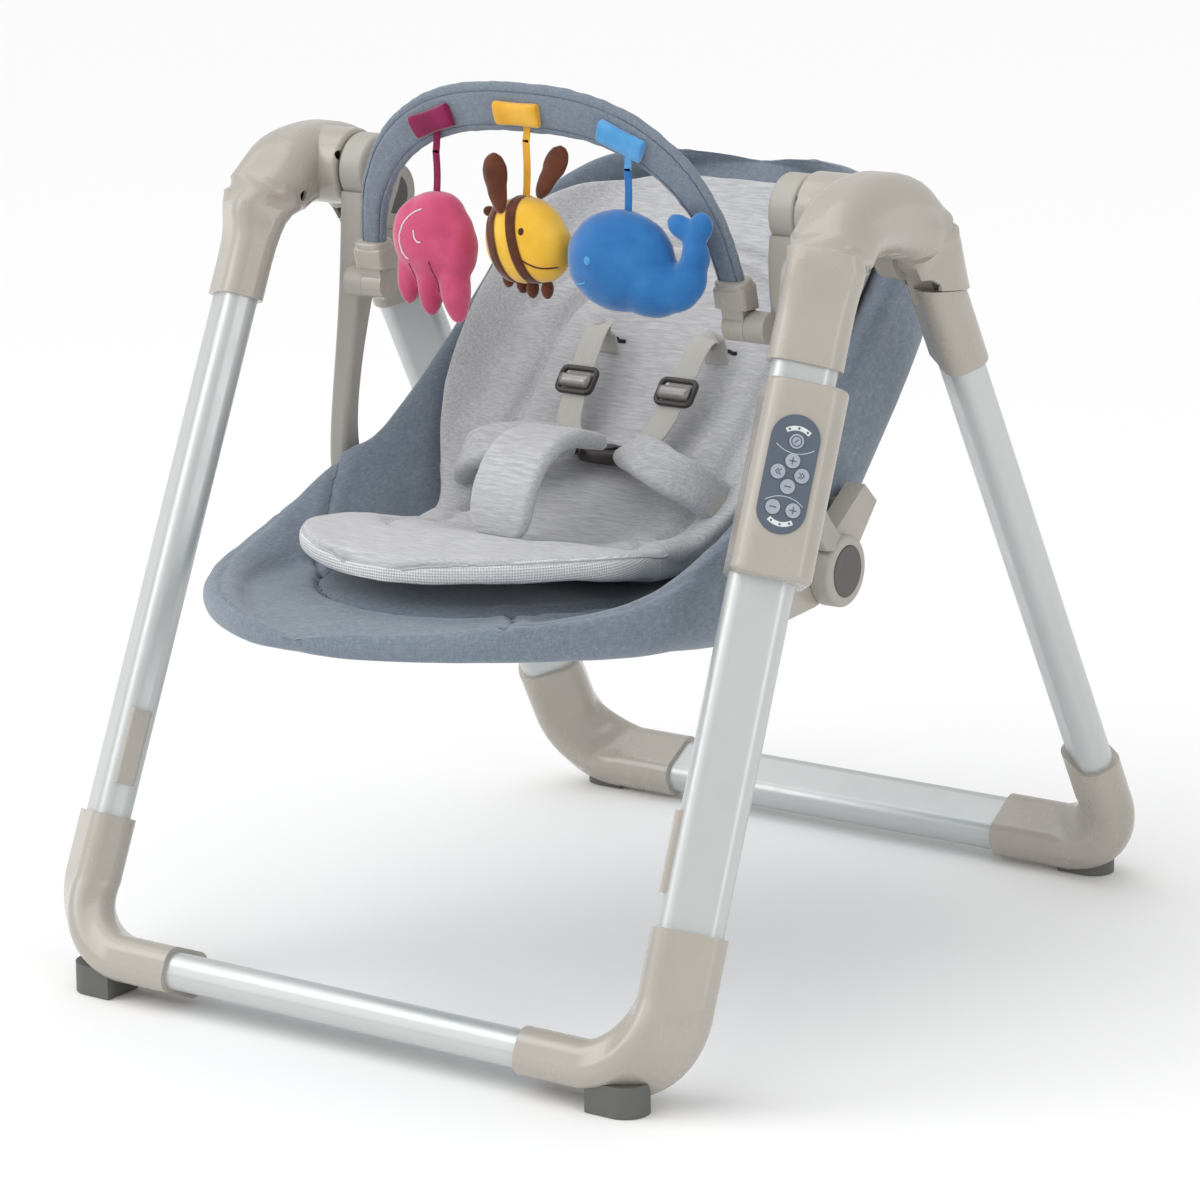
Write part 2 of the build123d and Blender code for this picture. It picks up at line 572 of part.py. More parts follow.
# the same for the space in which the child lies
NEST_STATIONS = (
    ((-300, 440), (-296, 366), 182),
    ((-190, 450), (-178, 350), 192),
    ((-110, 480), (-62, 344), 192),
    ((-50, 510), (28, 400), 188),
    ((40, 590), (136, 502), 180),
    ((110, 670), (203, 577), 160),
    ((160, 712), (226, 640), 100),
)


def trough(stations, radius):
    rings = []
    for (rim_y, rim_z), (low_y, low_z), half in stations:
        up = vec(0, rim_y - low_y, rim_z - low_z)
        height = up.length
        middle = ((rim_y + low_y) / 2, (rim_z + low_z) / 2)
        plane = Plane((0, *middle), x_dir=(1, 0, 0), z_dir=vec(1, 0, 0).cross(up.normalized()))
        rings.append(plane * RectangleRounded(2 * half, height, min(radius, height / 2 - 1, half - 1)))
    return loft(rings, ruled=True)


def seat_ring(radius):
    left = [vec(*point) for point in SEAT_RING]
    right = [vec(-p.X, p.Y, p.Z) for p in reversed(left)]
    path = FilletPolyline(*left, *right, radius=30, close=True)
    start = Plane(path @ 0, z_dir=path % 0)
    return sweep(start * Circle(radius), path=path)


def seat_bracket():
    """Plate beside the seat, clamped on its tube, with the pivot that turns in the arm."""
    y, z = RECLINE_AXIS
    inner, outer = 225.0, RECLINE_IN - 0.5
    plate = x_slab([(y - 70, z - 32), (y - 20, z - 29), (y + 24, z - 16), (y + 78, z + 44),
                    (y + 58, z + 62), (y + 8, z + 29), (y - 30, z + 14), (y - 70, z - 2)], inner, outer)
    plate += x_disc(y, z, 29, inner, outer) + x_disc(y, z, 7, outer - 1, 251.5)
    for clamp_y, clamp_z in ((-95, 352), (18, 405)):
        plate += block((199, inner + 1), (clamp_y - 14, clamp_y + 14), (clamp_z - 14, clamp_z + 14))
    return plate - seat_ring(SEAT_TUBE_RADIUS)


def build_seat():
    ring = seat_ring(SEAT_TUBE_RADIUS)
    save("seat_tube", ring)
    bracket = seat_bracket()
    save_pair("seat_bracket", bracket)
    shell = trough(SHELL_STATIONS, 34) - trough(NEST_STATIONS, 60)
    shell = shell - seat_ring(SEAT_TUBE_RADIUS + 0.05) - bracket - flip(bracket)
    save("seat_shell", max(shell.solids(), key=lambda s: s.volume))


# ---- padded insert, harness and buckle ------------------------------------------------------
# upper y, z; lower y, z; half width of the insert's sections, from the foot end to the head end
PAD_STATIONS = (
    ((-376, 394), (-372, 376), 70),
    ((-340, 398), (-338, 372), 132),
    ((-240, 396), (-238, 366), 150),
    ((-120, 389), (-114, 353), 148),
    ((-56, 392), (-40, 364), 140),
    ((0, 432), (28, 408), 138),
    ((80, 524), (110, 490), 144),
    ((149, 602), (179, 572), 144),
    ((190, 648), (212, 627), 76),
)
STRAP_X = 52.0
STRAP_WIDE = 22.0
STRAP_THICK = 2.0
# shoulder strap's line in y, z from its slot in the insert down to the buckle
STRAP_LINE = ((66, 526), (44, 520), (-2, 462), (-26, 438))
CROTCH_LINE = ((-172, 396), (-150, 440), (-112, 468), (-62, 464), (-34, 448))
CROTCH_WIDE = 62.0
CROTCH_THICK = 12.0
BUCKLE = ((-23.0, 23.0), (-30.0, 2.0), (426.0, 437.0))
ADJUSTER = (34.0, 24.0, 8.0)        # across, along and through the strap


def ribbon(points, thickness, x_middle, width):
    """A strap of even thickness, following a line in y, z."""
    upper, lower = [], []
    for share in range(len(points)):
        before = vec(0, *points[max(share - 1, 0)])
        after = vec(0, *points[min(share + 1, len(points) - 1)])
        normal = vec(1, 0, 0).cross((after - before).normalized()) * (thickness / 2)
        here = vec(0, *points[share])
        upper.append(((here + normal).Y, (here + normal).Z))
        lower.append(((here - normal).Y, (here - normal).Z))
    return x_slab(upper + lower[::-1], x_middle - width / 2, x_middle + width / 2)


def adjuster(x_middle):
    """Sliding buckle round the straight run of a shoulder strap, with a slot for it."""
    start, end = vec(0, *STRAP_LINE[1]), vec(0, *STRAP_LINE[2])
    along = (end - start).normalized()
    middle = start + (end - start) * 0.55
    plane = Plane((x_middle, middle.Y, middle.Z), x_dir=(1, 0, 0), z_dir=along)
    wide, long, deep = ADJUSTER
    body = plane * Box(wide, deep, long)
    body = fillet(body.edges().filter_by(Axis((0, 0, 0), tuple(along))), 2)
    return body - plane * Box(STRAP_WIDE + 2 * GAP, STRAP_THICK + 2 * GAP, long + 2)


def build_harness():
    pieces = []
    for side in (-1, 1):
        pieces.append(ribbon(STRAP_LINE, STRAP_THICK, side * STRAP_X, STRAP_WIDE))
        waist = loft([
            Pos(side * 128, -38, 416) * Rot(0, 90, 0) * RectangleRounded(40, 14, 6),
            Pos(side * 84, -44, 436) * Rot(0, 90, 0) * RectangleRounded(38, 16, 7),
            Pos(side * 36, -15, 431) * Rot(0, 90, 0) * RectangleRounded(26, 12, 5),
        ])
        pieces.append(waist - pieces[-1])
    pieces.append(ribbon(CROTCH_LINE, CROTCH_THICK, 0, CROTCH_WIDE))
    save("harness_straps", *pieces)
    buckle = fillet(block(*BUCKLE).edges().filter_by(Axis.Z), 6)
    insert = trough(PAD_STATIONS, 14) - Compound(children=pieces) - buckle
    save("seat_insert", max(insert.solids(), key=lambda s: s.volume))
    buckle -= Compound(children=pieces)
    save("harness_buckle", max(buckle.solids(), key=lambda s: s.volume))
    save("strap_adjuster_left", adjuster(STRAP_X))
    save("strap_adjuster_right", adjuster(-STRAP_X))


if __name__ == "__main__":
    build_frames()
    build_hubs()
    build_knuckles()
    build_control_box()
    build_drive()
    build_arms()
    build_toy_bar()
    build_toys()
    build_seat()
    build_harness()
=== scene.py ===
import json
import math

import bmesh
import bpy
import numpy as np
from mathutils import Matrix, Vector, kdtree, noise


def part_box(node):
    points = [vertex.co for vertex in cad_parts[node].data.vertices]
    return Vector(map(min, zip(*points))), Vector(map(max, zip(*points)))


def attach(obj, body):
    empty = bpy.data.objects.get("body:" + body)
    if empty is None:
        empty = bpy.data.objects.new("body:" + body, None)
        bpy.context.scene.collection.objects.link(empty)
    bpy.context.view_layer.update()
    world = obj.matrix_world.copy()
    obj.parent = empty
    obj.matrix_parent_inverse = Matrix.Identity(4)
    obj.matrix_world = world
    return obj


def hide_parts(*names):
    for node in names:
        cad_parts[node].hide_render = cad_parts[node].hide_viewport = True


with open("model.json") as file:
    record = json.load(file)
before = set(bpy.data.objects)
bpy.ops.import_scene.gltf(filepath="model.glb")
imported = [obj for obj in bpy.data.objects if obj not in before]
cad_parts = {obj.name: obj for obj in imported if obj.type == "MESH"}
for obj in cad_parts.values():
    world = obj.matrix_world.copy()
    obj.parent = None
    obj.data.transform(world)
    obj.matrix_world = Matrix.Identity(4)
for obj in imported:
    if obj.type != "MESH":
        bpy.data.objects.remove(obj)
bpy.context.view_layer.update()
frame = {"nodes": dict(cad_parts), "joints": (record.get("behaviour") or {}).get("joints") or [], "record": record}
NODES = frame["nodes"]
JOINTS = {j["name"]: j for j in frame["joints"]}
MM = 0.001
SIDES = ((-1, "right"), (1, "left"))        # sign of x, and the child's own side
# Shapes are drawn in millimetres from the middle between the crossbars, as the part's source is.
SHIFT = np.array([0.0, JOINTS["swing_pivot"]["pos_m"][1] + 0.057, 0.0])


def place(points):
    """Millimetres from the frames' middle to metres in the row frame."""
    return np.asarray(points, float) * MM + SHIFT


# ---- materials ------------------------------------------------------------------------------
def new_material(name):
    mat = bpy.data.materials.new(name)
    mat.use_nodes = True
    tree = mat.node_tree
    shader = tree.nodes["Principled BSDF"]
    return mat, tree, shader


def coords(tree, scale=(1, 1, 1), kind="Object", rotate=(0, 0, 0)):
    source = tree.nodes.new("ShaderNodeTexCoord")
    mapping = tree.nodes.new("ShaderNodeMapping")
    mapping.inputs["Scale"].default_value = scale
    mapping.inputs["Rotation"].default_value = rotate
    tree.links.new(source.outputs[kind], mapping.inputs["Vector"])
    return mapping.outputs["Vector"]


def noise_node(tree, vector, scale, detail=4.0, rough=0.55):
    node = tree.nodes.new("ShaderNodeTexNoise")
    node.inputs["Scale"].default_value = scale
    node.inputs["Detail"].default_value = detail
    node.inputs["Roughness"].default_value = rough
    tree.links.new(vector, node.inputs["Vector"])
    return node.outputs["Fac"]


def ramp(tree, value, stops):
    node = tree.nodes.new("ShaderNodeValToRGB")
    elements = node.color_ramp.elements
    while len(elements) < len(stops):
        elements.new(0.5)
    for element, (at, colour) in zip(elements, stops):
        element.position = at
        element.color = (*colour, 1) if len(colour) == 3 else colour
    tree.links.new(value, node.inputs["Fac"])
    return node.outputs["Color"]


def remap(tree, value, low, high, to_low, to_high):
    node = tree.nodes.new("ShaderNodeMapRange")
    for key, number in (("From Min", low), ("From Max", high), ("To Min", to_low), ("To Max", to_high)):
        node.inputs[key].default_value = number
    tree.links.new(value, node.inputs["Value"])
    return node.outputs["Result"]


def mix(tree, factor, first, second, mode="MIX"):
    node = tree.nodes.new("ShaderNodeMix")
    node.data_type = "RGBA"
    node.blend_type = mode
    for key, value in ((0, factor), (6, first), (7, second)):
        if isinstance(value, (int, float)):
            node.inputs[key].default_value = value
        elif isinstance(value, tuple):
            node.inputs[key].default_value = (*value, 1)
        else:
            tree.links.new(value, node.inputs[key])
    return node.outputs[2]


def math_node(tree, operation, first, second=0.0):
    node = tree.nodes.new("ShaderNodeMath")
    node.operation = operation
    for key, value in ((0, first), (1, second)):
        if isinstance(value, (int, float)):
            node.inputs[key].default_value = value
        else:
            tree.links.new(value, node.inputs[key])
    return node.outputs[0]


def bump(tree, shader, height, strength, distance):
    node = tree.nodes.new("ShaderNodeBump")
    node.inputs["Strength"].default_value = strength
    node.inputs["Distance"].default_value = distance
    tree.links.new(height, node.inputs["Height"])
    tree.links.new(node.outputs["Normal"], shader.inputs["Normal"])


def plastic(name, colour, rough=0.32, spread=0.07, grain=0.12, coat=0.0, metal=0.0):
    """Moulded plastic or paint: faint mottling, uneven gloss and a fine moulded grain."""
    mat, tree, shader = new_material(name)
    where = coords(tree)
    cloud = noise_node(tree, where, 14, 3)
    lighter = tuple(min(1, c * (1 + spread * 0.55)) for c in colour)
    darker = tuple(c * (1 - spread * 0.55) for c in colour)
    tree.links.new(ramp(tree, cloud, [(0.3, darker), (0.7, lighter)]), shader.inputs["Base Color"])
    smear = noise_node(tree, coords(tree, (1, 1, 0.35)), 60, 5, 0.6)
    gloss = remap(tree, smear, 0.3, 0.75, max(0.03, rough - 0.05), rough + 0.08)
    tree.links.new(gloss, shader.inputs["Roughness"])
    shader.inputs["Metallic"].default_value = metal
    shader.inputs["Coat Weight"].default_value = coat
    shader.inputs["Coat Roughness"].default_value = 0.12
    bump(tree, shader, noise_node(tree, where, 1500, 2), grain, 0.0004)
    return mat


def heather(name, base, dark, light, along=(60, 700, 700), across=None, weave=2600, sheen=0.35):
    """Melange cloth: streaks of lighter and darker yarn over a fine woven or knitted grain."""
    mat, tree, shader = new_material(name)
    streak = noise_node(tree, coords(tree, along), 1.0, 3, 0.6)
    tone = ramp(tree, streak, [(0.34, dark), (0.5, base), (0.66, light)])
    if across:
        other = noise_node(tree, coords(tree, across), 1.0, 3, 0.6)
        tone = mix(tree, 0.5, tone, ramp(tree, other, [(0.34, dark), (0.5, base), (0.66, light)]))
    speck = noise_node(tree, coords(tree), weave * 0.55, 2, 0.7)
    tone = mix(tree, 0.30, tone, ramp(tree, speck, [(0.35, dark), (0.65, light)]))
    large = noise_node(tree, coords(tree), 9, 2)
    tone = mix(tree, 0.14, tone, ramp(tree, large, [(0.3, dark), (0.7, light)]))
    tree.links.new(tone, shader.inputs["Base Color"])
    shader.inputs["Roughness"].default_value = 0.92
    shader.inputs["Sheen Weight"].default_value = sheen
    shader.inputs["Sheen Roughness"].default_value = 0.45
    shader.inputs["Specular IOR Level"].default_value = 0.18
    grain = mix(tree, 0.5, speck, noise_node(tree, coords(tree, along), 2.2, 3))
    bump(tree, shader, grain, 0.55, 0.0007)
    return mat


def webbing(name, colour, dark, period=0.0022):
    """Herringbone webbing: fine diagonal ribs that change hand across the strap, from its own UVs."""
    mat, tree, shader = new_material(name)
    uv = tree.nodes.new("ShaderNodeUVMap")
    uv.uv_map = "weave"
    split = tree.nodes.new("ShaderNodeSeparateXYZ")
    tree.links.new(uv.outputs["UV"], split.inputs["Vector"])
    across = math_node(tree, "PINGPONG", split.outputs["X"], 0.0055)
    line = math_node(tree, "ADD", across, split.outputs["Y"])
    wave = math_node(tree, "SINE", math_node(tree, "MULTIPLY", line, 2 * math.pi / period))
    wave = remap(tree, wave, -1, 1, 0, 1)
    tone = mix(tree, wave, dark, colour)
    speck = noise_node(tree, coords(tree), 900, 3)
    tone = mix(tree, 0.25, tone, ramp(tree, speck, [(0.3, dark), (0.7, colour)]))
    tree.links.new(tone, shader.inputs["Base Color"])
    shader.inputs["Roughness"].default_value = 0.62
    shader.inputs["Sheen Weight"].default_value = 0.3
    bump(tree, shader, wave, 0.6, 0.0004)
    return mat


def plush(name, colour, dark, light):
    """Short-pile plush: brushed patches that catch the light, over a fine nap."""
    mat, tree, shader = new_material(name)
    patch = noise_node(tree, coords(tree), 38, 3, 0.5)
    tone = ramp(tree, patch, [(0.3, dark), (0.5, colour), (0.72, light)])
    nap = noise_node(tree, coords(tree), 1400, 2, 0.7)
    tone = mix(tree, 0.22, tone, ramp(tree, nap, [(0.3, dark), (0.7, light)]))
    tree.links.new(tone, shader.inputs["Base Color"])
    shader.inputs["Roughness"].default_value = 0.85
    shader.inputs["Sheen Weight"].default_value = 0.8
    shader.inputs["Sheen Roughness"].default_value = 0.35
    shader.inputs["Specular IOR Level"].default_value = 0.2
    bump(tree, shader, nap, 0.5, 0.0008)
    return mat


def brushed(name, colour, rough=0.3):
    mat, tree, shader = new_material(name)
    line = noise_node(tree, coords(tree, (1, 1, 0.02)), 900, 4, 0.7)
    lighter = tuple(min(1, c * 1.12) for c in colour)
    tree.links.new(ramp(tree, line, [(0.2, colour), (0.8, lighter)]), shader.inputs["Base Color"])
    tree.links.new(remap(tree, line, 0.2, 0.8, rough, rough + 0.15), shader.inputs["Roughness"])
    shader.inputs["Metallic"].default_value = 1.0
    bump(tree, shader, line, 0.08, 0.0002)
    return mat


def spacer_mesh(name):
    """White 3-D spacer fabric: rows of small open cells, with painted shade inside each cell."""
    mat, tree, shader = new_material(name)
    uv = tree.nodes.new("ShaderNodeUVMap")
    uv.uv_map = "weave"
    cells = tree.nodes.new("ShaderNodeTexVoronoi")
    cells.inputs["Scale"].default_value = 420
    cells.inputs["Randomness"].default_value = 0.12
    tree.links.new(uv.outputs["UV"], cells.inputs["Vector"])
    # painted shade: the grey at each cell's centre is the shadow inside the open cell, not the fabric's colour
    tone = ramp(tree, cells.outputs["Distance"], [(0.15, (0.42, 0.44, 0.45)), (0.5, (0.83, 0.84, 0.84))])
    tree.links.new(tone, shader.inputs["Base Color"])
    shader.inputs["Roughness"].default_value = 0.8
    bump(tree, shader, cells.outputs["Distance"], 0.9, 0.0012)
    return mat


M = {
    "frame": plastic("frame_plastic", (0.425, 0.393, 0.345), 0.24, coat=0.3),
    "arm": plastic("arm_plastic", (0.415, 0.395, 0.355), 0.38),
    "tube": plastic("silver_paint", (0.57, 0.595, 0.59), 0.34, 0.02, 0.02, metal=0.45),
    "foot": plastic("foot_rubber", (0.125, 0.128, 0.118), 0.62, grain=0.3),
    "button": plastic("button_grey", (0.105, 0.10, 0.092), 0.5),
    "steel": brushed("zinc_steel", (0.60, 0.60, 0.58)),
    "brass": brushed("bronze_bush", (0.58, 0.40, 0.18)),
    "nylon": plastic("gear_nylon", (0.80, 0.78, 0.70), 0.45),
    "keypad": plastic("keypad_film", (0.092, 0.118, 0.155), 0.38),
    "silver": plastic("key_silver", (0.42, 0.46, 0.52), 0.30, metal=0.55),
    "print": plastic("key_print", (0.62, 0.66, 0.70), 0.5),
    "lamp": plastic("lamp_window", (0.70, 0.74, 0.76), 0.25, coat=0.3),
    "board": plastic("circuit_board", (0.03, 0.16, 0.07), 0.4),
    "cell": plastic("battery_cell", (0.05, 0.06, 0.08), 0.3, metal=0.3),
    "black": plastic("speaker_black", (0.02, 0.02, 0.022), 0.6),
    "seat": heather("seat_melange", (0.178, 0.218, 0.272), (0.122, 0.154, 0.198), (0.285, 0.330, 0.388),
                    (160, 160, 900), (900, 160, 160)),
    "jersey": heather("insert_jersey", (0.50, 0.505, 0.525), (0.375, 0.38, 0.405), (0.63, 0.635, 0.65),
                      (55, 480, 620)),
    "band": heather("band_melange", (0.180, 0.218, 0.268), (0.125, 0.156, 0.198), (0.275, 0.318, 0.370),
                    (300, 300, 900), (900, 300, 300)),
    "strap": webbing("harness_webbing", (0.58, 0.57, 0.53), (0.42, 0.41, 0.38)),
    "mesh": spacer_mesh("spacer_mesh"),
    "buckle": plastic("buckle_brown", (0.022, 0.016, 0.016), 0.4),
    "gunmetal": plastic("adjuster_gunmetal", (0.055, 0.05, 0.048), 0.32, metal=0.35),
    "roller": plastic("adjuster_roller", (0.33, 0.32, 0.31), 0.3, metal=0.5),
    "pink": plush("plush_pink", (0.60, 0.085, 0.19), (0.52, 0.065, 0.155), (0.68, 0.13, 0.245)),
    "yellow": plush("plush_yellow", (0.86, 0.50, 0.05), (0.80, 0.44, 0.038), (0.92, 0.58, 0.09)),
    "brown": plush("plush_brown", (0.105, 0.030, 0.014), (0.06, 0.018, 0.01), (0.17, 0.055, 0.028)),
    "blue": plush("plush_blue", (0.028, 0.165, 0.44), (0.022, 0.135, 0.38), (0.045, 0.205, 0.51)),
    # the magenta loops and tab, and the painted crease shade between the elephant's legs
    "magenta": plush("loop_magenta_and_fold_shade", (0.24, 0.012, 0.075), (0.17, 0.008, 0.05), (0.34, 0.03, 0.12)),
    "gold": plush("loop_yellow", (0.80, 0.42, 0.04), (0.66, 0.31, 0.02), (0.88, 0.53, 0.09)),
    "sky": plush("loop_blue", (0.09, 0.34, 0.68), (0.05, 0.26, 0.57), (0.16, 0.43, 0.76)),
    "white": plush("stitch_white", (0.75, 0.73, 0.74), (0.6, 0.58, 0.6), (0.85, 0.84, 0.84)),
    "thread": plush("seam_thread", (0.10, 0.13, 0.17), (0.07, 0.09, 0.12), (0.16, 0.20, 0.25)),
    # dark webbing under the seat, and the painted shade in the insert's strap slots
    "dark": plush("dark_webbing_and_slot_shade", (0.018, 0.016, 0.020), (0.01, 0.01, 0.012), (0.04, 0.036, 0.042)),
}

SLOT_MATERIALS = {
    "frame_plastic": "frame", "arm_plastic": "arm", "frame_tube": "tube", "foot_rubber": "foot",
    "button_grey": "button", "steel": "steel", "brass": "brass", "gear_nylon": "nylon",
    "keypad_film": "keypad", "key_silver": "silver", "board": "board", "cell": "cell",
    "speaker_black": "black", "seat_fabric": "seat", "insert_jersey": "jersey", "webbing": "strap",
    "buckle_brown": "buckle", "adjuster_dark": "gunmetal", "toy_pink": "pink", "toy_yellow": "yellow",
    "toy_blue": "blue",
}


# ---- CAD nodes: materials, and normals that stay smooth across small facets -------------------
def smooth_normals(obj, angle):
    """Shade a CAD mesh smoothly where neighbouring faces turn by less than angle."""
    data = obj.data
    count = len(data.loops)
    if not count:
        return
    co = np.zeros(len(data.vertices) * 3)
    data.vertices.foreach_get("co", co)
    co = co.reshape(-1, 3)
    _, shared = np.unique(np.round(co, 6), axis=0, return_inverse=True)
    shared = shared.reshape(-1)
    loop_vertex = np.zeros(count, int)
    data.loops.foreach_get("vertex_index", loop_vertex)
    normals = np.zeros(len(data.polygons) * 3)
    areas = np.zeros(len(data.polygons))
    totals = np.zeros(len(data.polygons), int)
    data.polygons.foreach_get("normal", normals)
    data.polygons.foreach_get("area", areas)
    data.polygons.foreach_get("loop_total", totals)
    normals = normals.reshape(-1, 3)
    loop_face = np.repeat(np.arange(len(totals)), totals)
    corner = shared[loop_vertex]
    order = np.argsort(corner, kind="stable")
    starts = np.searchsorted(corner[order], np.arange(corner.max() + 2))
    result = np.zeros((count, 3))
    limit = math.cos(angle)
    for at in range(len(starts) - 1):
        group = order[starts[at]:starts[at + 1]]
        faces = loop_face[group]
        facing = normals[faces]
        close = (facing @ facing.T) > limit
        result[group] = close @ (facing * areas[faces][:, None])
    lengths = np.linalg.norm(result, axis=1)
    flat = lengths < 1e-12
    result[flat] = normals[loop_face[flat]]
    result[~flat] /= lengths[~flat][:, None]
    data.polygons.foreach_set("use_smooth", [True] * len(data.polygons))
    data.normals_split_custom_set(result.tolist())


def dress_cad_nodes():
    slots = {s["node"]: s["material_slot"] for s in frame["record"]["subparts"]}
    for name, obj in NODES.items():
        material = M[SLOT_MATERIALS[slots[name]]]
        obj.data.materials.clear()
        obj.data.materials.append(material)
        smooth_normals(obj, math.radians(32))


# ---- mesh building --------------------------------------------------------------------------
def build(name, points, faces, body, material, slot=None, uv=None, level=0, replaces=()):
    """A mesh from millimetre points, riding on a body."""
    data = bpy.data.meshes.new(name)
    data.from_pydata(place(points).tolist(), [], [tuple(f) for f in faces])
    data.polygons.foreach_set("use_smooth", [True] * len(data.polygons))
    if uv is not None:
        layer = data.uv_layers.new(name="weave")
        vertex = np.zeros(len(data.loops), int)
        data.loops.foreach_get("vertex_index", vertex)
        layer.data.foreach_set("uv", np.asarray(uv, float)[vertex].reshape(-1))
    data.materials.append(M[material])
    data.validate()
    obj = bpy.data.objects.new(name, data)
    bpy.context.scene.collection.objects.link(obj)
    if level:
        modifier = obj.modifiers.new("round", "SUBSURF")
        modifier.levels = modifier.render_levels = level
    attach(obj, body)
    if replaces:
        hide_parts(*replaces)
    return obj


def tube_faces(rows, columns, caps=True):
    """Faces of closed rings joined end to end, with both ends closed if caps is true."""
    faces = []
    for row in range(rows - 1):
        for column in range(columns):
            after = (column + 1) % columns
            faces.append((row * columns + column, row * columns + after, (row + 1) * columns + after,
                          (row + 1) * columns + column))
    if caps:
        faces += [list(range(columns))[::-1], list(range((rows - 1) * columns, rows * columns))]
    return faces


def loft(name, rings, body, material, caps=True, **more):
    """Rings of equal point counts, closed round, joined end to end."""
    rings = np.asarray(rings, float)
    rows, columns = rings.shape[:2]
    return build(name, rings.reshape(-1, 3), tube_faces(rows, columns, caps), body, material, **more)


def chaikin(points, times=3, closed=False):
    points = np.asarray(points, float)
    for _ in range(times):
        if closed:
            after = np.roll(points, -1, axis=0)
            points = np.stack([points * 0.75 + after * 0.25, points * 0.25 + after * 0.75], 1)
            points = points.reshape(-1, points.shape[-1])
        else:
            first, last = points[:1], points[-1:]
            cut = np.stack([points[:-1] * 0.75 + points[1:] * 0.25, points[:-1] * 0.25 + points[1:] * 0.75], 1)
            points = np.vstack([first, cut.reshape(-1, points.shape[-1])[1:-1], last])
    return points


def resample(points, count):
    points = np.asarray(points, float)
    steps = np.linalg.norm(np.diff(points, axis=0), axis=1)
    along = np.concatenate([[0], np.cumsum(steps)])
    at = np.linspace(0, along[-1], count)
    return np.stack([np.interp(at, along, points[:, k]) for k in range(points.shape[1])], 1)


def sweep(name, path, profile, body, material, up=(0, 0, 1), closed=False, uv=True, **more):
    """A profile carried along a path; up gives the profile's first direction."""
    path = np.asarray(path, float)
    if closed:
        tangent = np.roll(path, -1, 0) - np.roll(path, 1, 0)
    else:
        tangent = np.gradient(path, axis=0)
    tangent /= np.linalg.norm(tangent, axis=1)[:, None]
    ups = np.broadcast_to(np.asarray(up, float), path.shape)
    side = np.cross(ups, tangent)
    side /= np.linalg.norm(side, axis=1)[:, None]
    ups = np.cross(tangent, side)
    profile = np.asarray(profile, float)
    rings = path[:, None] + side[:, None] * profile[None, :, :1] + ups[:, None] * profile[None, :, 1:]
    along = np.concatenate([[0], np.cumsum(np.linalg.norm(np.diff(path, axis=0), axis=1))])
    edge = np.concatenate([[0], np.cumsum(np.linalg.norm(np.diff(profile, axis=0), axis=1))])
    weave = np.stack(np.broadcast_arrays(edge[None, :], along[:, None]), -1).reshape(-1, 2) * MM
    more["uv"] = weave if uv else None
    if closed:
        rows, columns = rings.shape[:2]
        last = (rows - 1) * columns
        faces = tube_faces(rows, columns, caps=False)
        faces += [(last + c, last + (c + 1) % columns, (c + 1) % columns, c) for c in range(columns)]
        return build(name, rings.reshape(-1, 3), faces, body, material, **more)
    return loft(name, rings, body, material, **more)


def rounded(width, height, radius, steps=4):
    """A rounded rectangle about the origin."""
    radius = min(radius, width / 2, height / 2)
    points = []
    for quarter, (x, y) in enumerate(((1, 1), (-1, 1), (-1, -1), (1, -1))):
        centre = np.array([x * (width / 2 - radius), y * (height / 2 - radius)])
        for step in range(steps + 1):
            angle = math.pi / 2 * (quarter + step / steps)
            points.append(centre + radius * np.array([math.cos(angle), math.sin(angle)]))
    return np.array(points)


def circle(radius, count=16):
    angle = np.linspace(0, 2 * math.pi, count, endpoint=False)
    return np.stack([np.cos(angle), np.sin(angle)], 1) * radius


def vertex_normals(points, faces):
    normals = np.zeros_like(points)
    quads = np.array([f if len(f) == 4 else (*f, f[-1]) for f in faces if len(f) in (3, 4)])
    cross = np.cross(points[quads[:, 2]] - points[quads[:, 0]], points[quads[:, 3]] - points[quads[:, 1]])
    for column in range(4):
        np.add.at(normals, quads[:, column], cross)
    return normals / np.maximum(np.linalg.norm(normals, axis=1), 1e-9)[:, None]


def outward(points, faces):
    """The faces, turned so that a closed mesh's normals point out."""
    volume = 0.0
    for face in faces:
        first = points[face[0]]
        for a, b in zip(face[1:], face[2:]):
            volume += float(np.dot(first, np.cross(points[a], points[b])))
    return faces if volume > 0 else [tuple(face)[::-1] for face in faces]


def tree_of(points):
    """A search tree that finds the nearest of these points."""
    tree = kdtree.KDTree(len(points))
    for at, point in enumerate(points):
        tree.insert(point, at)
    tree.balance()
    return tree


SEAM_REACH = 40.0       # a seam changes nothing further away than this


def seam_distance(points, line):
    """Distance from each point to a densely sampled seam line."""
    line = resample(line, max(8, int(np.linalg.norm(np.diff(line, axis=0), axis=1).sum() / 1.5)))
    tree = tree_of(line)
    low, high = line.min(0) - SEAM_REACH, line.max(0) + SEAM_REACH
    result = np.full(len(points), 1e3)
    for at in np.nonzero(np.all((points > low) & (points < high), axis=1))[0]:
        result[at] = tree.find(points[at])[2]
    return result


def ripple(points, scale, seed):
    """Smooth noise, one number for each point, about -1 to 1."""
    offset = Vector((seed * 17.3, seed * 5.1, seed * 9.7))
    return np.array([noise.noise(Vector(p) / scale + offset) for p in points])


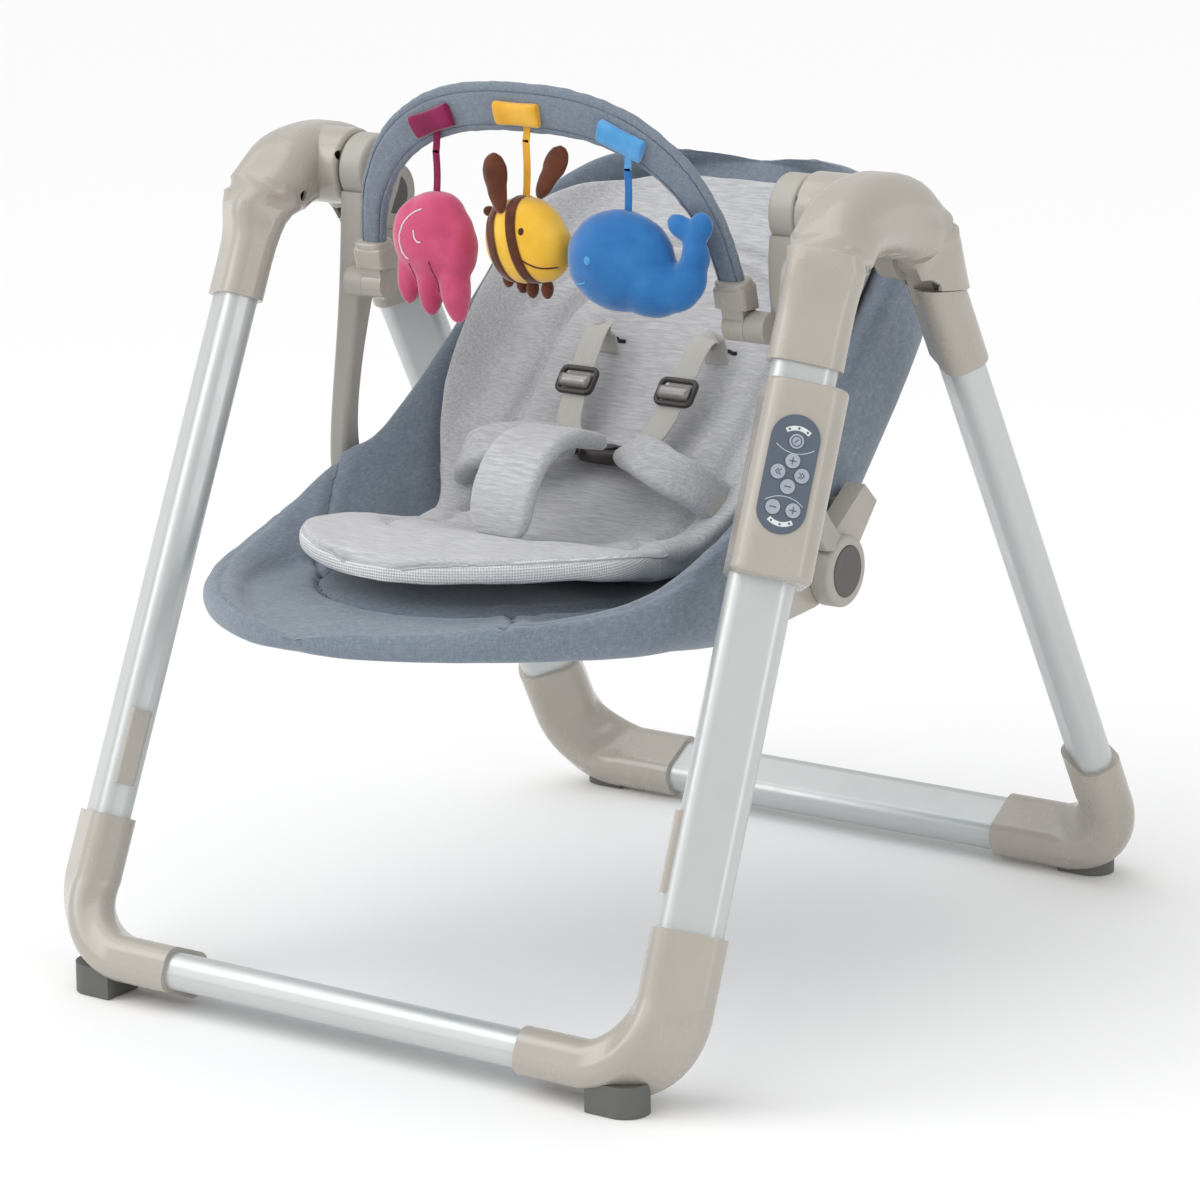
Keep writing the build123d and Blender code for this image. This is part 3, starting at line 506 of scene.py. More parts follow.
# ---- seat: a bent tray along a spine, with heights above and below it --------------------------
SPINE = resample(chaikin([(-486, 361), (-440, 362), (-380, 363), (-300, 361), (-220, 353), (-150, 344),
                          (-95, 342), (-50, 354), (-8, 384), (40, 428), (105, 492), (165, 560),
                          (208, 618), (236, 662)], 4), 400)
SPINE_ALONG = np.concatenate([[0], np.cumsum(np.linalg.norm(np.diff(SPINE, axis=0), axis=1))])
SPINE_LENGTH = SPINE_ALONG[-1]
SPINE_TANGENT = np.gradient(SPINE, axis=0)
SPINE_TANGENT /= np.linalg.norm(SPINE_TANGENT, axis=1)[:, None]
kernel = np.hanning(41)
for k in range(2):
    padded_row = np.pad(SPINE_TANGENT[:, k], 20, mode="edge")
    SPINE_TANGENT[:, k] = np.convolve(padded_row, kernel / kernel.sum(), mode="valid")
SPINE_TANGENT /= np.linalg.norm(SPINE_TANGENT, axis=1)[:, None]


def on_seat(along, x, height):
    """Points in millimetres from distance along the spine, x and height above it."""
    along, x, height = np.broadcast_arrays(*(np.asarray(v, float) for v in (along, x, height)))
    y = np.interp(along, SPINE_ALONG, SPINE[:, 0])
    z = np.interp(along, SPINE_ALONG, SPINE[:, 1])
    ty = np.interp(along, SPINE_ALONG, SPINE_TANGENT[:, 0])
    tz = np.interp(along, SPINE_ALONG, SPINE_TANGENT[:, 1])
    return np.stack([x, y - tz * height, z + ty * height], -1)


def stations(along, table):
    """Smoothly interpolated columns of a table whose first column is the distance along."""
    table = np.asarray(table, float)
    fine = resample_columns(table)
    return [np.interp(along, fine[:, 0], fine[:, k]) for k in range(1, table.shape[1])]


def resample_columns(table):
    fine = chaikin(table, 3)
    return fine[np.argsort(fine[:, 0], kind="stable")]


def end_round(along, length, first, last, power):
    """1 in the middle, falling to 0 at both ends as a superellipse."""
    front = np.clip((first - along) / first, 0, 1)
    back = np.clip((along - (length - last)) / last, 0, 1)
    return np.clip(1 - front ** power[0], 0, 1) ** (1 / power[0]) * \
        np.clip(1 - back ** power[1], 0, 1) ** (1 / power[1])


SHELL_START = 26.0      # the lip's front edge, along the spine
SHELL_HALF = 84         # points in the right half of a section
# distance, rim height, depth below, full half width, half width of the flat floor
SHELL_TABLE = ((0, 8, 11, 214, 150), (60, 9, 13, 214, 160), (186, 13, 24, 215, 168), (250, 30, 27, 219, 160),
               (300, 52, 29, 221, 150), (350, 74, 31, 221, 140), (395, 90, 34, 221, 132),
               (440, 88, 38, 219, 132), (490, 76, 42, 218, 138), (560, 70, 45, 215, 145),
               (620, 66, 47, 212, 150), (680, 60, 49, 210, 150), (740, 52, 50, 207, 142),
               (800, 44, 48, 204, 130), (SPINE_LENGTH, 38, 42, 204, 120))


def shell_profile(rim, depth, outer, floor):
    """Right half of a section, from the underside's middle to the floor's middle."""
    low = min(30.0, (rim + depth) * 0.42)
    top = min(13.0, (rim + depth) * 0.40)
    outer = max(outer, 0.5)
    floor = min(floor, max(0.1, outer - 46))
    wall = min(36.0, outer * 0.25)
    points = [(0, -depth), (outer * 0.5, -depth), (max(outer - low * 1.5, outer * 0.6), -depth),
              (max(outer - low * 0.45, outer * 0.8), -depth + low * 0.18),
              (outer - low * 0.05, -depth + low * 0.8), (outer, (rim - depth) / 2),
              (outer, rim - top * 1.1), (outer - top * 0.3, rim - top * 0.25), (outer - top * 1.1, rim + 0.5),
              (outer - wall * 0.62, rim - 0.10 * rim), (outer - wall, rim * 0.66),
              (max(floor + (outer - wall - floor) * 0.45, 0), rim * 0.24),
              (floor, rim * 0.04), (floor * 0.5, 0), (0, 0)]
    return resample(chaikin(points, 3), SHELL_HALF)


def shell_taper(along):
    """How much of its width the shell has, from its rounded lip to its rounded top."""
    return end_round(along - SHELL_START, SPINE_LENGTH - SHELL_START, 225, 120, (1.85, 2.5))


def seat_section(along):
    """One closed ring of the shell."""
    rim, depth, outer, floor = stations(along, SHELL_TABLE)
    past_lip = along - SHELL_START
    shape = shell_taper(along)
    edge = np.sqrt(np.clip(1 - np.clip(1 - past_lip / 13, 0, 1) ** 2, 0, 1))
    edge = edge * np.sqrt(np.clip(1 - np.clip(1 - (SPINE_LENGTH - along) / 30, 0, 1) ** 2, 0, 1))
    half = shell_profile(rim * edge, depth * edge, outer * shape, floor * shape)
    ring = np.vstack([half, half[-2:0:-1] * (-1, 1)])
    return on_seat(along, ring[:, 0], ring[:, 1])


def dense_ends(length, count, first, last):
    """Positions along a piece, closer together towards its rounded ends."""
    t = np.linspace(0, 1, count)
    middle = first + (length - first - last) * t
    start = first * (1 - np.cos(np.linspace(0, math.pi / 2, count // 4)))
    end = length - last * (1 - np.cos(np.linspace(math.pi / 2, 0, count // 4)))
    return np.unique(np.round(np.concatenate([start, middle, end]), 3))


def outline_on_shell(inset, start, end, side):
    """A line on the shell's rim or wall, inset from its outer edge along the section."""
    result = []
    for along in np.linspace(start, end, 120):
        half = seat_section(along)[:SHELL_HALF]
        # walk in from the outermost point, and from the highest one where the wall is upright
        widest = int(np.argmax(half[:, 0] + 0.001 * np.arange(SHELL_HALF)))
        steps = np.concatenate([[0], np.cumsum(np.linalg.norm(np.diff(half[widest:], axis=0), axis=1))])
        at = min(np.searchsorted(steps, inset), len(steps) - 1) + widest
        result.append(half[at] * (side, 1, 1))
    return np.array(result)


def seat_shell():
    along = dense_ends(SPINE_LENGTH - SHELL_START - 0.4, 150, 120, 100) + SHELL_START
    along = along[along > SHELL_START + 0.2]
    rings = np.array([seat_section(a) for a in along])
    rows, columns = rings.shape[:2]
    points = rings.reshape(-1, 3)
    faces = outward(points, tube_faces(rows, columns))
    coarse = vertex_normals(points, faces)
    puff = ripple(points, 75, 1) * 2.0 + ripple(points, 27, 2) * 0.9
    lift = puff * (0.35 + 0.65 * np.clip(coarse[:, 2] * 0.8 + 0.4, 0, 1))
    points, faces = subdivide(points + coarse * lift[:, None], faces)
    normals = vertex_normals(points, faces)
    lines = seat_seams()
    press = np.zeros(len(points))
    for line, depth, width in lines:
        away = seam_distance(points, line)
        press -= depth * np.exp(-(away / width) ** 2)
        press += depth * 0.55 * np.exp(-((away - width * 4.2) / (width * 3.2)) ** 2)
    # the quilted panel under the insert's tongue is stuffed
    reach = (points[:, 0] / 132) ** 2 + (np.minimum(points[:, 1] + 196, 0) / 146) ** 2
    fade = np.clip((-60 - points[:, 1]) / 100, 0, 1) * np.clip(normals[:, 2] * 2 - 0.6, 0, 1)
    press += 13 * (1 - np.clip(reach, 0, 1) ** 2) * fade
    points = points + normals * press[:, None]
    shell = build("seat_shell_fabric", points, faces, "seat", "seat", slot="seat_fabric",
                  replaces=("seat_shell", "seat_tube"))
    for number, (line, depth, _) in enumerate(lines):
        if depth > 2:
            press_in = snap_to(points, normals, resample(line, len(line)), 0.2)
            sweep(f"seat_seam_thread_{number}", press_in, circle(0.55, 6), "seat", "thread",
                  up=(0.1, 0.2, 1))


def snap_to(points, normals, path, lift):
    """A path moved onto a skin's nearest points, and lifted off it."""
    tree = tree_of(points)
    found = [tree.find(p)[1] for p in path]
    snapped = points[found] + normals[found] * lift
    return resample(chaikin(snapped, 1), len(path))


def modified(points, faces, kinds):
    """Points and faces of a mesh after modifiers, each a kind with its settings; nothing is left behind."""
    data = bpy.data.meshes.new("working")
    data.from_pydata(np.asarray(points).tolist(), [], faces)
    obj = bpy.data.objects.new("working", data)
    bpy.context.scene.collection.objects.link(obj)
    for kind, settings in kinds:
        modifier = obj.modifiers.new(kind.lower(), kind)
        for key, value in settings.items():
            setattr(modifier, key, value)
    result = obj.evaluated_get(bpy.context.evaluated_depsgraph_get()).to_mesh()
    points = np.zeros(len(result.vertices) * 3)
    result.vertices.foreach_get("co", points)
    faces = [tuple(p.vertices) for p in result.polygons]
    bpy.data.objects.remove(obj)
    bpy.data.meshes.remove(data)
    return points.reshape(-1, 3), faces


def subdivide(points, faces):
    """One level of subdivision, so that seams can be pressed into a fine mesh."""
    return modified(points, faces, [("SUBSURF", {"levels": 1})])


def seat_seams():
    """Seam lines on the shell, each with its depth and width."""
    lines = []
    for side in (-1, 1):
        lines.append((outline_on_shell(24, SHELL_START + 4, SPINE_LENGTH - 6, side), 1.6, 2.0))
    # quilted contour round the insert
    turn = np.linspace(-math.pi / 2, math.pi / 2, 60)
    contour = np.stack([136 * np.sin(turn), 290 - 150 * np.cos(turn)], 1)
    contour = np.vstack([[(-142, 420)], contour, [(142, 420)]])
    lines.append((floor_line(resample(contour, 140)), 3.0, 2.6))
    lines.append((floor_line(resample([(96, 190), (120, 160), (138, 132), (146, 108)], 40)), 3.2, 2.2))
    lines.append((floor_line(resample([(-118, 218), (-165, 268), (-200, 335), (-216, 372)], 60)), 3.2, 2.4))
    lines.append((floor_line(resample([(118, 218), (165, 268), (200, 335), (216, 372)], 60)), 3.2, 2.4))
    return lines


def floor_line(flat):
    """x and distance along, laid on the shell's upper surface."""
    result = []
    for x, along in flat:
        half = seat_section(along)[:SHELL_HALF]
        widest = int(np.argmax(half[:, 0]))
        inner = half[widest:]
        order = np.argsort(inner[:, 0])
        target = min(abs(x), inner[:, 0].max())
        point = np.array([np.interp(target, inner[order, 0], inner[order, k]) for k in range(3)])
        point[0] *= 1 if x >= 0 else -1
        result.append(point)
    return np.array(result)


# ---- padded insert ----------------------------------------------------------------------------
# distance, half width, base height over the shell, thickness at the middle
PAD_FIRST, PAD_LAST = 128.0, SPINE_LENGTH - 26.0
PAD_TABLE = ((128, 154, 29, 21), (200, 154, 29, 22), (250, 156, 27, 22), (310, 148, 21, 23), (360, 132, 12, 24),
             (400, 126, 6, 24), (450, 146, 4, 26), (500, 168, 3, 28), (560, 182, 3, 29), (640, 187, 3, 29),
             (700, 186, 3, 28), (760, 182, 3, 27), (PAD_LAST, 178, 3, 24))


def shell_height(along, x):
    """Height of the shell's upper surface over the spine, at x."""
    rim, depth, outer, floor = stations(along, SHELL_TABLE)
    shape = max(float(shell_taper(along)), 0.05)
    half = shell_profile(rim, depth, outer * shape, floor * shape)
    inner = half[int(np.argmax(half[:, 1])):]
    order = np.argsort(inner[:, 0])
    return np.interp(np.abs(x), inner[order, 0], inner[order, 1])


def pad_ring(along, count=46):
    half_width, base, thick = stations(along, PAD_TABLE)
    front = np.clip((PAD_FIRST + 150 - along) / 150, 0, 1)
    back = np.clip((along - (PAD_LAST - 95)) / 95, 0, 1)
    half_width = half_width * np.clip(1 - front ** 1.9, 0, 1) ** (1 / 1.9) * \
        np.clip(1 - back ** 2.3, 0, 1) ** (1 / 2.3)
    half_width = max(float(half_width), 0.4)
    ends = min(along - PAD_FIRST, PAD_LAST - along)
    thick = thick * math.sqrt(max(0.0, 1 - max(0.0, 1 - ends / 11) ** 2)) + 0.2
    side = min(6.0, thick * 0.3, half_width * 0.4)
    profile = [(0, 0), (half_width * 0.6, 0), (half_width - side, 0), (half_width - 1, side * 0.6),
               (half_width, thick * 0.5), (half_width - 0.5, thick * 0.82), (half_width - side * 0.9, thick),
               (half_width * 0.6, thick), (0, thick)]
    half = resample(chaikin(profile, 2), count)
    floor = shell_height(along, half[:, 0])
    ring = np.stack([half[:, 0], half[:, 1] + floor + base], 1)
    ring = np.vstack([ring, ring[-2:0:-1] * (-1, 1)])
    return on_seat(along, ring[:, 0], ring[:, 1])


def pad_line(flat):
    """x and distance along, laid on the insert's upper surface."""
    result = []
    for x, along in flat:
        _, base, thick = stations(along, PAD_TABLE)
        result.append(on_seat(along, x, float(shell_height(along, abs(x))) + base + thick))
    return np.array(result)


def pad_seams():
    turn = np.linspace(0, math.pi, 70)
    tongue = np.stack([106 * np.cos(turn), 318 - 96 * np.sin(turn)], 1)
    tongue = np.vstack([[(98, 382)], tongue, [(-98, 382)]])
    back = np.stack([116 * np.cos(turn), 640 + 96 * np.sin(turn) ** 0.8], 1)
    back = np.vstack([[(104, 418), (110, 480), (117, 560)], back, [(-117, 560), (-110, 480), (-104, 418)]])
    head = [(-150, 668), (-128, 716), (-60, 748), (0, 756), (60, 748), (128, 716), (150, 668)]
    bend = [(-104, 400), (-50, 396), (0, 395), (50, 396), (104, 400)]
    return [
        (pad_line(resample(tongue, 150)), 4.2, 4.0), (pad_line(resample(back, 260)), 7.0, 5.0),
        (pad_line(resample(chaikin(head, 2), 110)), 4.0, 3.6), (pad_line(resample(bend, 50)), 3.4, 4.0),
    ]


def seat_insert():
    along = dense_ends(PAD_LAST - PAD_FIRST - 0.4, 130, 60, 50) + PAD_FIRST
    along = along[along > PAD_FIRST + 0.2]
    rings = np.array([pad_ring(a) for a in along])
    rows, columns = rings.shape[:2]
    points = rings.reshape(-1, 3)
    faces = outward(points, tube_faces(rows, columns))
    normals = vertex_normals(points, faces)
    puff = ripple(points, 55, 3) * 1.8 + ripple(points, 22, 4) * 0.9
    points, faces = subdivide(points + normals * puff[:, None], faces)
    normals = vertex_normals(points, faces)
    press = np.zeros(len(points))
    upper = np.clip(normals @ np.array([0, -0.45, 0.9]) * 2.0, 0, 1)
    for line, depth, width in pad_seams():
        away = seam_distance(points, line)
        press -= depth * np.exp(-(away / width) ** 2) * upper
        press += depth * 0.75 * np.exp(-((away - width * 4.6) / (width * 4.0)) ** 2) * upper
    edge = rim_line()
    away = seam_distance(points, edge)
    press -= 1.5 * np.exp(-(away / 1.8) ** 2)
    points = points + normals * press[:, None]
    around = np.arctan2(points[:, 0], -(points[:, 1] + 210)) * 0.15
    insert = build("seat_insert_pad", points, faces, "seat", "jersey", slot="insert_jersey",
                   replaces=("seat_insert",), uv=np.stack([around, points[:, 2] * MM], 1))
    insert.data.materials.append(M["mesh"])
    centres = np.array([points[list(f)].mean(0) for f in faces])
    facing = face_normals(points, faces)
    tree = tree_of(edge)
    seam_z = np.array([tree.find(c)[0][2] if c[1] < -130 else -1e3 for c in centres])
    low = (centres[:, 2] < seam_z) & (facing[:, 2] > -0.75) & (facing[:, 2] < 0.8)
    insert.data.polygons.foreach_set("material_index", low.astype(int))
    sweep("insert_edge_seam", snap_to(points, normals, edge, 0.3), circle(0.9, 6), "seat", "jersey", up=(0.1, 0.3, 1))
    back = SPINE[:, 0] > 0
    slot_at = float(np.interp(493, SPINE[back, 1], SPINE_ALONG[back]))
    # painted shade: a near-black strip over each strap slot stands for the shadow inside the slit
    for side, name in SIDES:
        slot_line = pad_line([(side * 60 - 17, slot_at), (side * 60, slot_at + 1), (side * 60 + 17, slot_at)])
        path = snap_to(points, normals, resample(slot_line, 14), 0.9)
        sweep(f"insert_strap_slot_shade_{name}", path, rounded(1.6, 3.4, 0.8, 2), "seat", "dark", up=(0.1, 0.3, 1))


def face_normals(points, faces):
    quads = np.array([f if len(f) == 4 else (*f, f[-1])[:4] for f in faces])
    cross = np.cross(points[quads[:, 2]] - points[quads[:, 0]], points[quads[:, 3]] - points[quads[:, 1]])
    return cross / np.maximum(np.linalg.norm(cross, axis=1), 1e-9)[:, None]


def rim_line():
    """The tongue's upper edge, where the spacer mesh meets the jersey."""
    left, right = [], []
    for along in np.concatenate([PAD_FIRST + 4 + 40 * np.linspace(0, 1, 40) ** 2, np.linspace(174, 372, 60)]):
        ring = pad_ring(along)
        half = ring[:46]
        widest = int(np.argmax(half[:, 0]))
        at = min(widest + 1, 44)
        right.append(half[at])
        left.append(half[at] * (-1, 1, 1))
    return np.array(left[::-1] + right)


# ---- harness ------------------------------------------------------------------------------------
def strap_path(side):
    points = [(side * 58, 72, 505), (side * 58, 70, 522), (side * 57, 62, 533), (side * 55, 48, 528),
              (side * 53, 30, 505), (side * 51, 10, 478), (side * 46, -8, 456), (side * 34, -20, 442)]
    return resample(chaikin(points, 3), 60)


def strap_adjuster(side, name):
    """A frame and a roller that slide on the shoulder strap."""
    start, end = np.array([0, 44.0, 520.0]), np.array([0, -2.0, 462.0])
    middle = start + (end - start) * 0.55
    middle[0] = side * 52
    along = (end - start) / np.linalg.norm(end - start)
    across = np.array([1.0, 0, 0])
    out = np.cross(along, across)
    out = out if out[2] > 0 else -out

    def frame_path(wide, long, radius):
        return np.array([middle + across * p[0] + along * p[1] + out * 3.2 for p in rounded(wide, long, radius, 5)])
    body = f"strap_adjuster_{name}"
    sweep(f"adjuster_{name}_frame", frame_path(35, 23, 5), rounded(4.6, 5.2, 1.6, 2), body, "gunmetal",
          up=tuple(out), closed=True, slot="adjuster_dark", replaces=(body,))
    bar = np.array([middle + across * x + along * 1.5 + out * 3.6 for x in np.linspace(-15, 15, 9)])
    sweep(f"adjuster_{name}_roller", bar, circle(6.6, 20), body, "roller", up=tuple(out), slot="adjuster_dark")


def pad_strap(name, path, width, ups):
    """A padded, rounded strip along a path."""
    rows, columns, thick, stuffing = 70, 40, 15, 1.2
    path = resample(chaikin(path, 3), rows)
    ups = resample(np.asarray(ups, float), rows)
    section = rounded(width, thick, thick * 0.46, 6)
    profile = resample(np.vstack([section, section[:1]]), columns + 1)[:-1]
    swell = 1 - 0.35 * (np.abs(np.linspace(-1, 1, rows)) ** 10)
    tangent = np.gradient(path, axis=0)
    tangent /= np.linalg.norm(tangent, axis=1)[:, None]
    side = np.cross(ups, tangent)
    side /= np.linalg.norm(side, axis=1)[:, None]
    up = np.cross(tangent, side)
    rings = path[:, None] + side[:, None] * (profile[None, :, :1] * swell[:, None, None]) \
        + up[:, None] * (profile[None, :, 1:] * swell[:, None, None])
    points = rings.reshape(-1, 3)
    faces = outward(points, tube_faces(rows, columns))
    normals = vertex_normals(points, faces)
    uneven = ripple(points, 24, 6) * stuffing + ripple(points, 9, 7) * stuffing * 0.35
    obj = build(name, points + normals * uneven[:, None], faces, "seat", "jersey", slot="insert_jersey", level=1)


def harness():
    flat = rounded(24, 1.8, 0.85, 2)
    for side, name in SIDES:
        sweep(f"shoulder_strap_{name}", strap_path(side), flat, "seat", "strap", up=(0, -0.75, 0.66),
              slot="webbing", replaces=("harness_straps",) if side < 0 else ())
        strap_adjuster(side, name)
        waist = [(side * 132, -20, 398), (side * 128, -48, 420), (side * 108, -66, 436), (side * 78, -62, 446),
                 (side * 48, -40, 447), (side * 28, -22, 444)]
        pad_strap(f"waist_pad_{name}", waist, 40,
                  [(side * 0.6, -0.7, 0.5), (side * 0.25, -0.75, 0.66), (0, -0.6, 0.8)])
        tail = [(side * 118, -62, 424), (side * 134, -52, 416), (side * 141, -30, 400), (side * 139, -6, 396)]
        sweep(f"waist_strap_{name}", resample(chaikin(tail, 3), 40), flat, "seat", "strap",
              up=(side * 0.7, -0.6, 0.4), slot="webbing")
    crotch = [(0, -176, 392), (0, -172, 420), (0, -160, 446), (0, -138, 462), (0, -108, 468), (0, -74, 462),
              (0, -46, 450)]
    pad_strap("crotch_pad", crotch, 64,
              [(0, -1, 0.1), (0, -0.85, 0.5), (0, -0.3, 0.95), (0, 0.1, 1), (0, 0.2, 1)])
    buckle()
    under_strap()


def under_strap():
    """Dark webbing that holds the cover under the seat."""
    for side, name in SIDES:
        path = [(side * 176, -70, 326), (side * 150, -62, 306), (side * 118, -52, 297), (side * 84, -46, 303),
                (side * 62, -42, 322)]
        sweep(f"under_strap_{name}", resample(chaikin(path, 2), 24), rounded(30, 3, 1.3, 2), "seat", "dark",
              up=(0, 0, 1), slot="webbing")


def buckle():
    """A three-way buckle: body, release button and the two tongues."""
    corners = [(-25, -27), (25, -27), (29, -12), (22, 2), (9, 6), (-9, 6), (-22, 2), (-29, -12)]
    outline = resample(chaikin(corners, 3, closed=True), 48)
    rings = [np.column_stack([outline * grow + (0, -3 * (1 - grow)), np.full(len(outline), height)])
             for height, grow in ((427, 0.93), (428.5, 0.99), (435, 1.0), (438.5, 0.95), (440, 0.84))]
    loft("harness_buckle_body", rings, "seat", "buckle", slot="buckle_brown", replaces=("harness_buckle",), level=1)
    button = resample(chaikin([(-8, -18), (8, -18), (8, -4), (-8, -4)], 3, closed=True), 32)
    rings = [np.column_stack([button * grow, np.full(len(button), height)])
             for height, grow in ((439, 1), (441.6, 0.96), (442.4, 0.82))]
    loft("harness_buckle_release", rings, "seat", "gunmetal", slot="buckle_brown", level=1)
    for side, name in SIDES:
        prong = np.array([(side * x, -8, 433.5) for x in np.linspace(20, 38, 8)])
        sweep(f"harness_tongue_{name}", prong, rounded(5, 20, 2, 3), "seat", "buckle", up=(0, 1, 0),
              slot="buckle_brown")


# ---- toy bar and toys ---------------------------------------------------------------------------
LEAN = math.radians(14.5)
BAR_FOOT = np.array(JOINTS["toy_bar_tilt"]["pos_m"]) / MM - SHIFT / MM


def on_bar(x, rise, out=0.0):
    """x, height in the bar's own plane and distance in front of it."""
    x, rise, out = np.broadcast_arrays(*(np.asarray(v, float) for v in (x, rise, out)))
    y = BAR_FOOT[1] - rise * math.sin(LEAN) - out * math.cos(LEAN)
    z = BAR_FOOT[2] + rise * math.cos(LEAN) - out * math.sin(LEAN)
    return np.stack([x, y, z], -1)


def arch(half, height, angle):
    power = 2 / 2.5
    x, up = np.cos(angle), np.sin(angle)
    return half * np.abs(x) ** power * np.sign(x), height * np.abs(up) ** power


def toy_bar():
    low = math.asin((24 / 199) ** 1.25)
    angles = np.linspace(low, math.pi - low, 200)
    outer = np.stack(arch(197, 199, angles), 1)
    inner = np.stack(arch(174, 156, angles), 1)
    rings = []
    count = 36
    turn = np.linspace(0, 2 * math.pi, count, endpoint=False)
    for a, b in zip(outer, inner):
        middle, reach = (a + b) / 2, (a - b) / 2
        # a flat sleeve: thin at the sewn edges, fuller between them
        across = np.sign(np.cos(turn)) * np.abs(np.cos(turn)) ** 0.8
        deep = np.sign(np.sin(turn)) * np.abs(np.sin(turn)) ** 0.75 * 6.4
        flat = middle + reach * across[:, None]
        rings.append(on_bar(flat[:, 0], flat[:, 1], deep))
    rings = np.array(rings)
    points = rings.reshape(-1, 3)
    faces = outward(points, tube_faces(len(rings), count))
    normals = vertex_normals(points, faces)
    pucker = np.array([noise.noise(Vector((p[0] / 9, p[2] / 9, p[1] / 60))) for p in points])
    points, faces = subdivide(points + normals * (pucker * 0.9 + ripple(points, 40, 9) * 0.8)[:, None], faces)
    normals = vertex_normals(points, faces)
    press = np.zeros(len(points))
    seams = []
    for share in (0.14, 0.86):
        for out in (6.0, -6.0):
            mid = outer * (1 - share) + inner * share
            seams.append(on_bar(mid[:, 0], mid[:, 1], out))
    for line in seams:
        away = seam_distance(points, line)
        press -= 1.1 * np.exp(-(away / 1.7) ** 2)
    points = points + normals * press[:, None]
    band = build("toy_bar_sleeve", points, faces, "toy_bar", "band", slot="seat_fabric", replaces=("toy_bar_band",))
    for number, line in enumerate(seams):
        sweep(f"toy_bar_stitch_{number}", snap_to(points, normals, resample(line, 260), 0.15), circle(0.45, 6),
              "toy_bar", "thread", up=(0.05, 1, 0.2))
    for side, name in SIDES:
        ferrule(side, name)


def ferrule(side, name):
    """The tapered plastic cup that holds the bar's foot."""
    rings = []
    for rise, wide, deep in ((7, 15, 12), (12, 22, 18), (22, 27, 21), (34, 30, 22.5), (40, 30.5, 23), (41.5, 29, 21)):
        flat = rounded(wide, deep, min(wide, deep) * 0.34, 5)
        rings.append(on_bar(side * 185.5 + flat[:, 0], rise, flat[:, 1]))
    loft(f"toy_bar_cup_{name}", rings, "toy_bar", "frame", slot="frame_plastic", level=1)


def plump(name, parts, body, material, slot, voxel=2.6, smooth=14, replaces=()):
    """A soft toy: overlapping rounded forms melted into one skin."""
    verts, faces = [], []
    for centre, radii, tilt in parts:
        ball = bmesh.new()
        bmesh.ops.create_icosphere(ball, subdivisions=4, radius=1)
        turn = Matrix.Rotation(math.radians(tilt), 3, "Y")
        base = len(verts)
        verts += [tuple(turn @ Vector((v.co.x * radii[0], v.co.y * radii[1], v.co.z * radii[2])) + Vector(centre))
                  for v in ball.verts]
        faces += [tuple(base + v.index for v in f.verts) for f in ball.faces]
        ball.free()
    points, faces = modified(verts, faces, [("REMESH", {"mode": "VOXEL", "voxel_size": voxel}),
                                            ("SMOOTH", {"factor": 0.5, "iterations": smooth})])
    normals = vertex_normals(points, faces)
    points = points + normals * (ripple(points, 16, 11) * 0.7)[:, None]
    toy = build(name, points, faces, body, material, slot=slot, replaces=replaces, level=1)
    return points, normals


TOY_Y = -137.0


def surface_thread(name, skin, flat, body, material, radius=0.8, lift=0.2):
    """A stitched line, or a line of painted crease shade, on a toy's face, drawn in x, z and pushed onto the skin."""
    points, normals = skin
    flat = resample(chaikin(flat, 2), 26)
    chosen = points[:, 1] < TOY_Y
    near, out = points[chosen], normals[chosen]
    path = []
    for x, z in flat:
        at = int(np.argmin((near[:, 0] - x) ** 2 + (near[:, 2] - z) ** 2))
        path.append((x, near[at, 1] + out[at, 1] * lift, z))
    sweep(name, path, circle(radius, 8), body, material, up=(0, 1, 0.01), uv=False)


def dome(name, skin, x, z, radii, body, material, height=1.6):
    """A small rounded eye on a toy's face."""
    points, normals = skin
    chosen = points[:, 1] < TOY_Y
    near, out = points[chosen], normals[chosen]
    at = int(np.argmin((near[:, 0] - x) ** 2 + (near[:, 2] - z) ** 2))
    normal = out[at]
    side = np.cross((0, 0, 1), normal)
    side /= np.linalg.norm(side)
    up = np.cross(normal, side)
    rings = []
    for level in np.linspace(0, 1, 7):
        grow = math.sqrt(max(0, 1 - level ** 2)) + 0.02
        ring = circle(1, 20) * grow
        rings.append(near[at] + normal * (height * level - 0.5) + side * ring[:, :1] * radii[0]
                     + up * ring[:, 1:] * radii[1])
    loft(name, rings, body, material)


def ribbon_loop(name, x, top, low, body, material, width=7.0):
    """The tape that a toy hangs by, from its loop to the toy."""
    path = np.array([(x, TOY_Y, z) for z in np.linspace(top, low, 24)])
    path[:, 0] += np.sin(np.linspace(0, 3.0, 24)) * 1.2
    sweep(name, path, rounded(width, 1.4, 0.6, 2), body, material, up=(0, -1, 0))


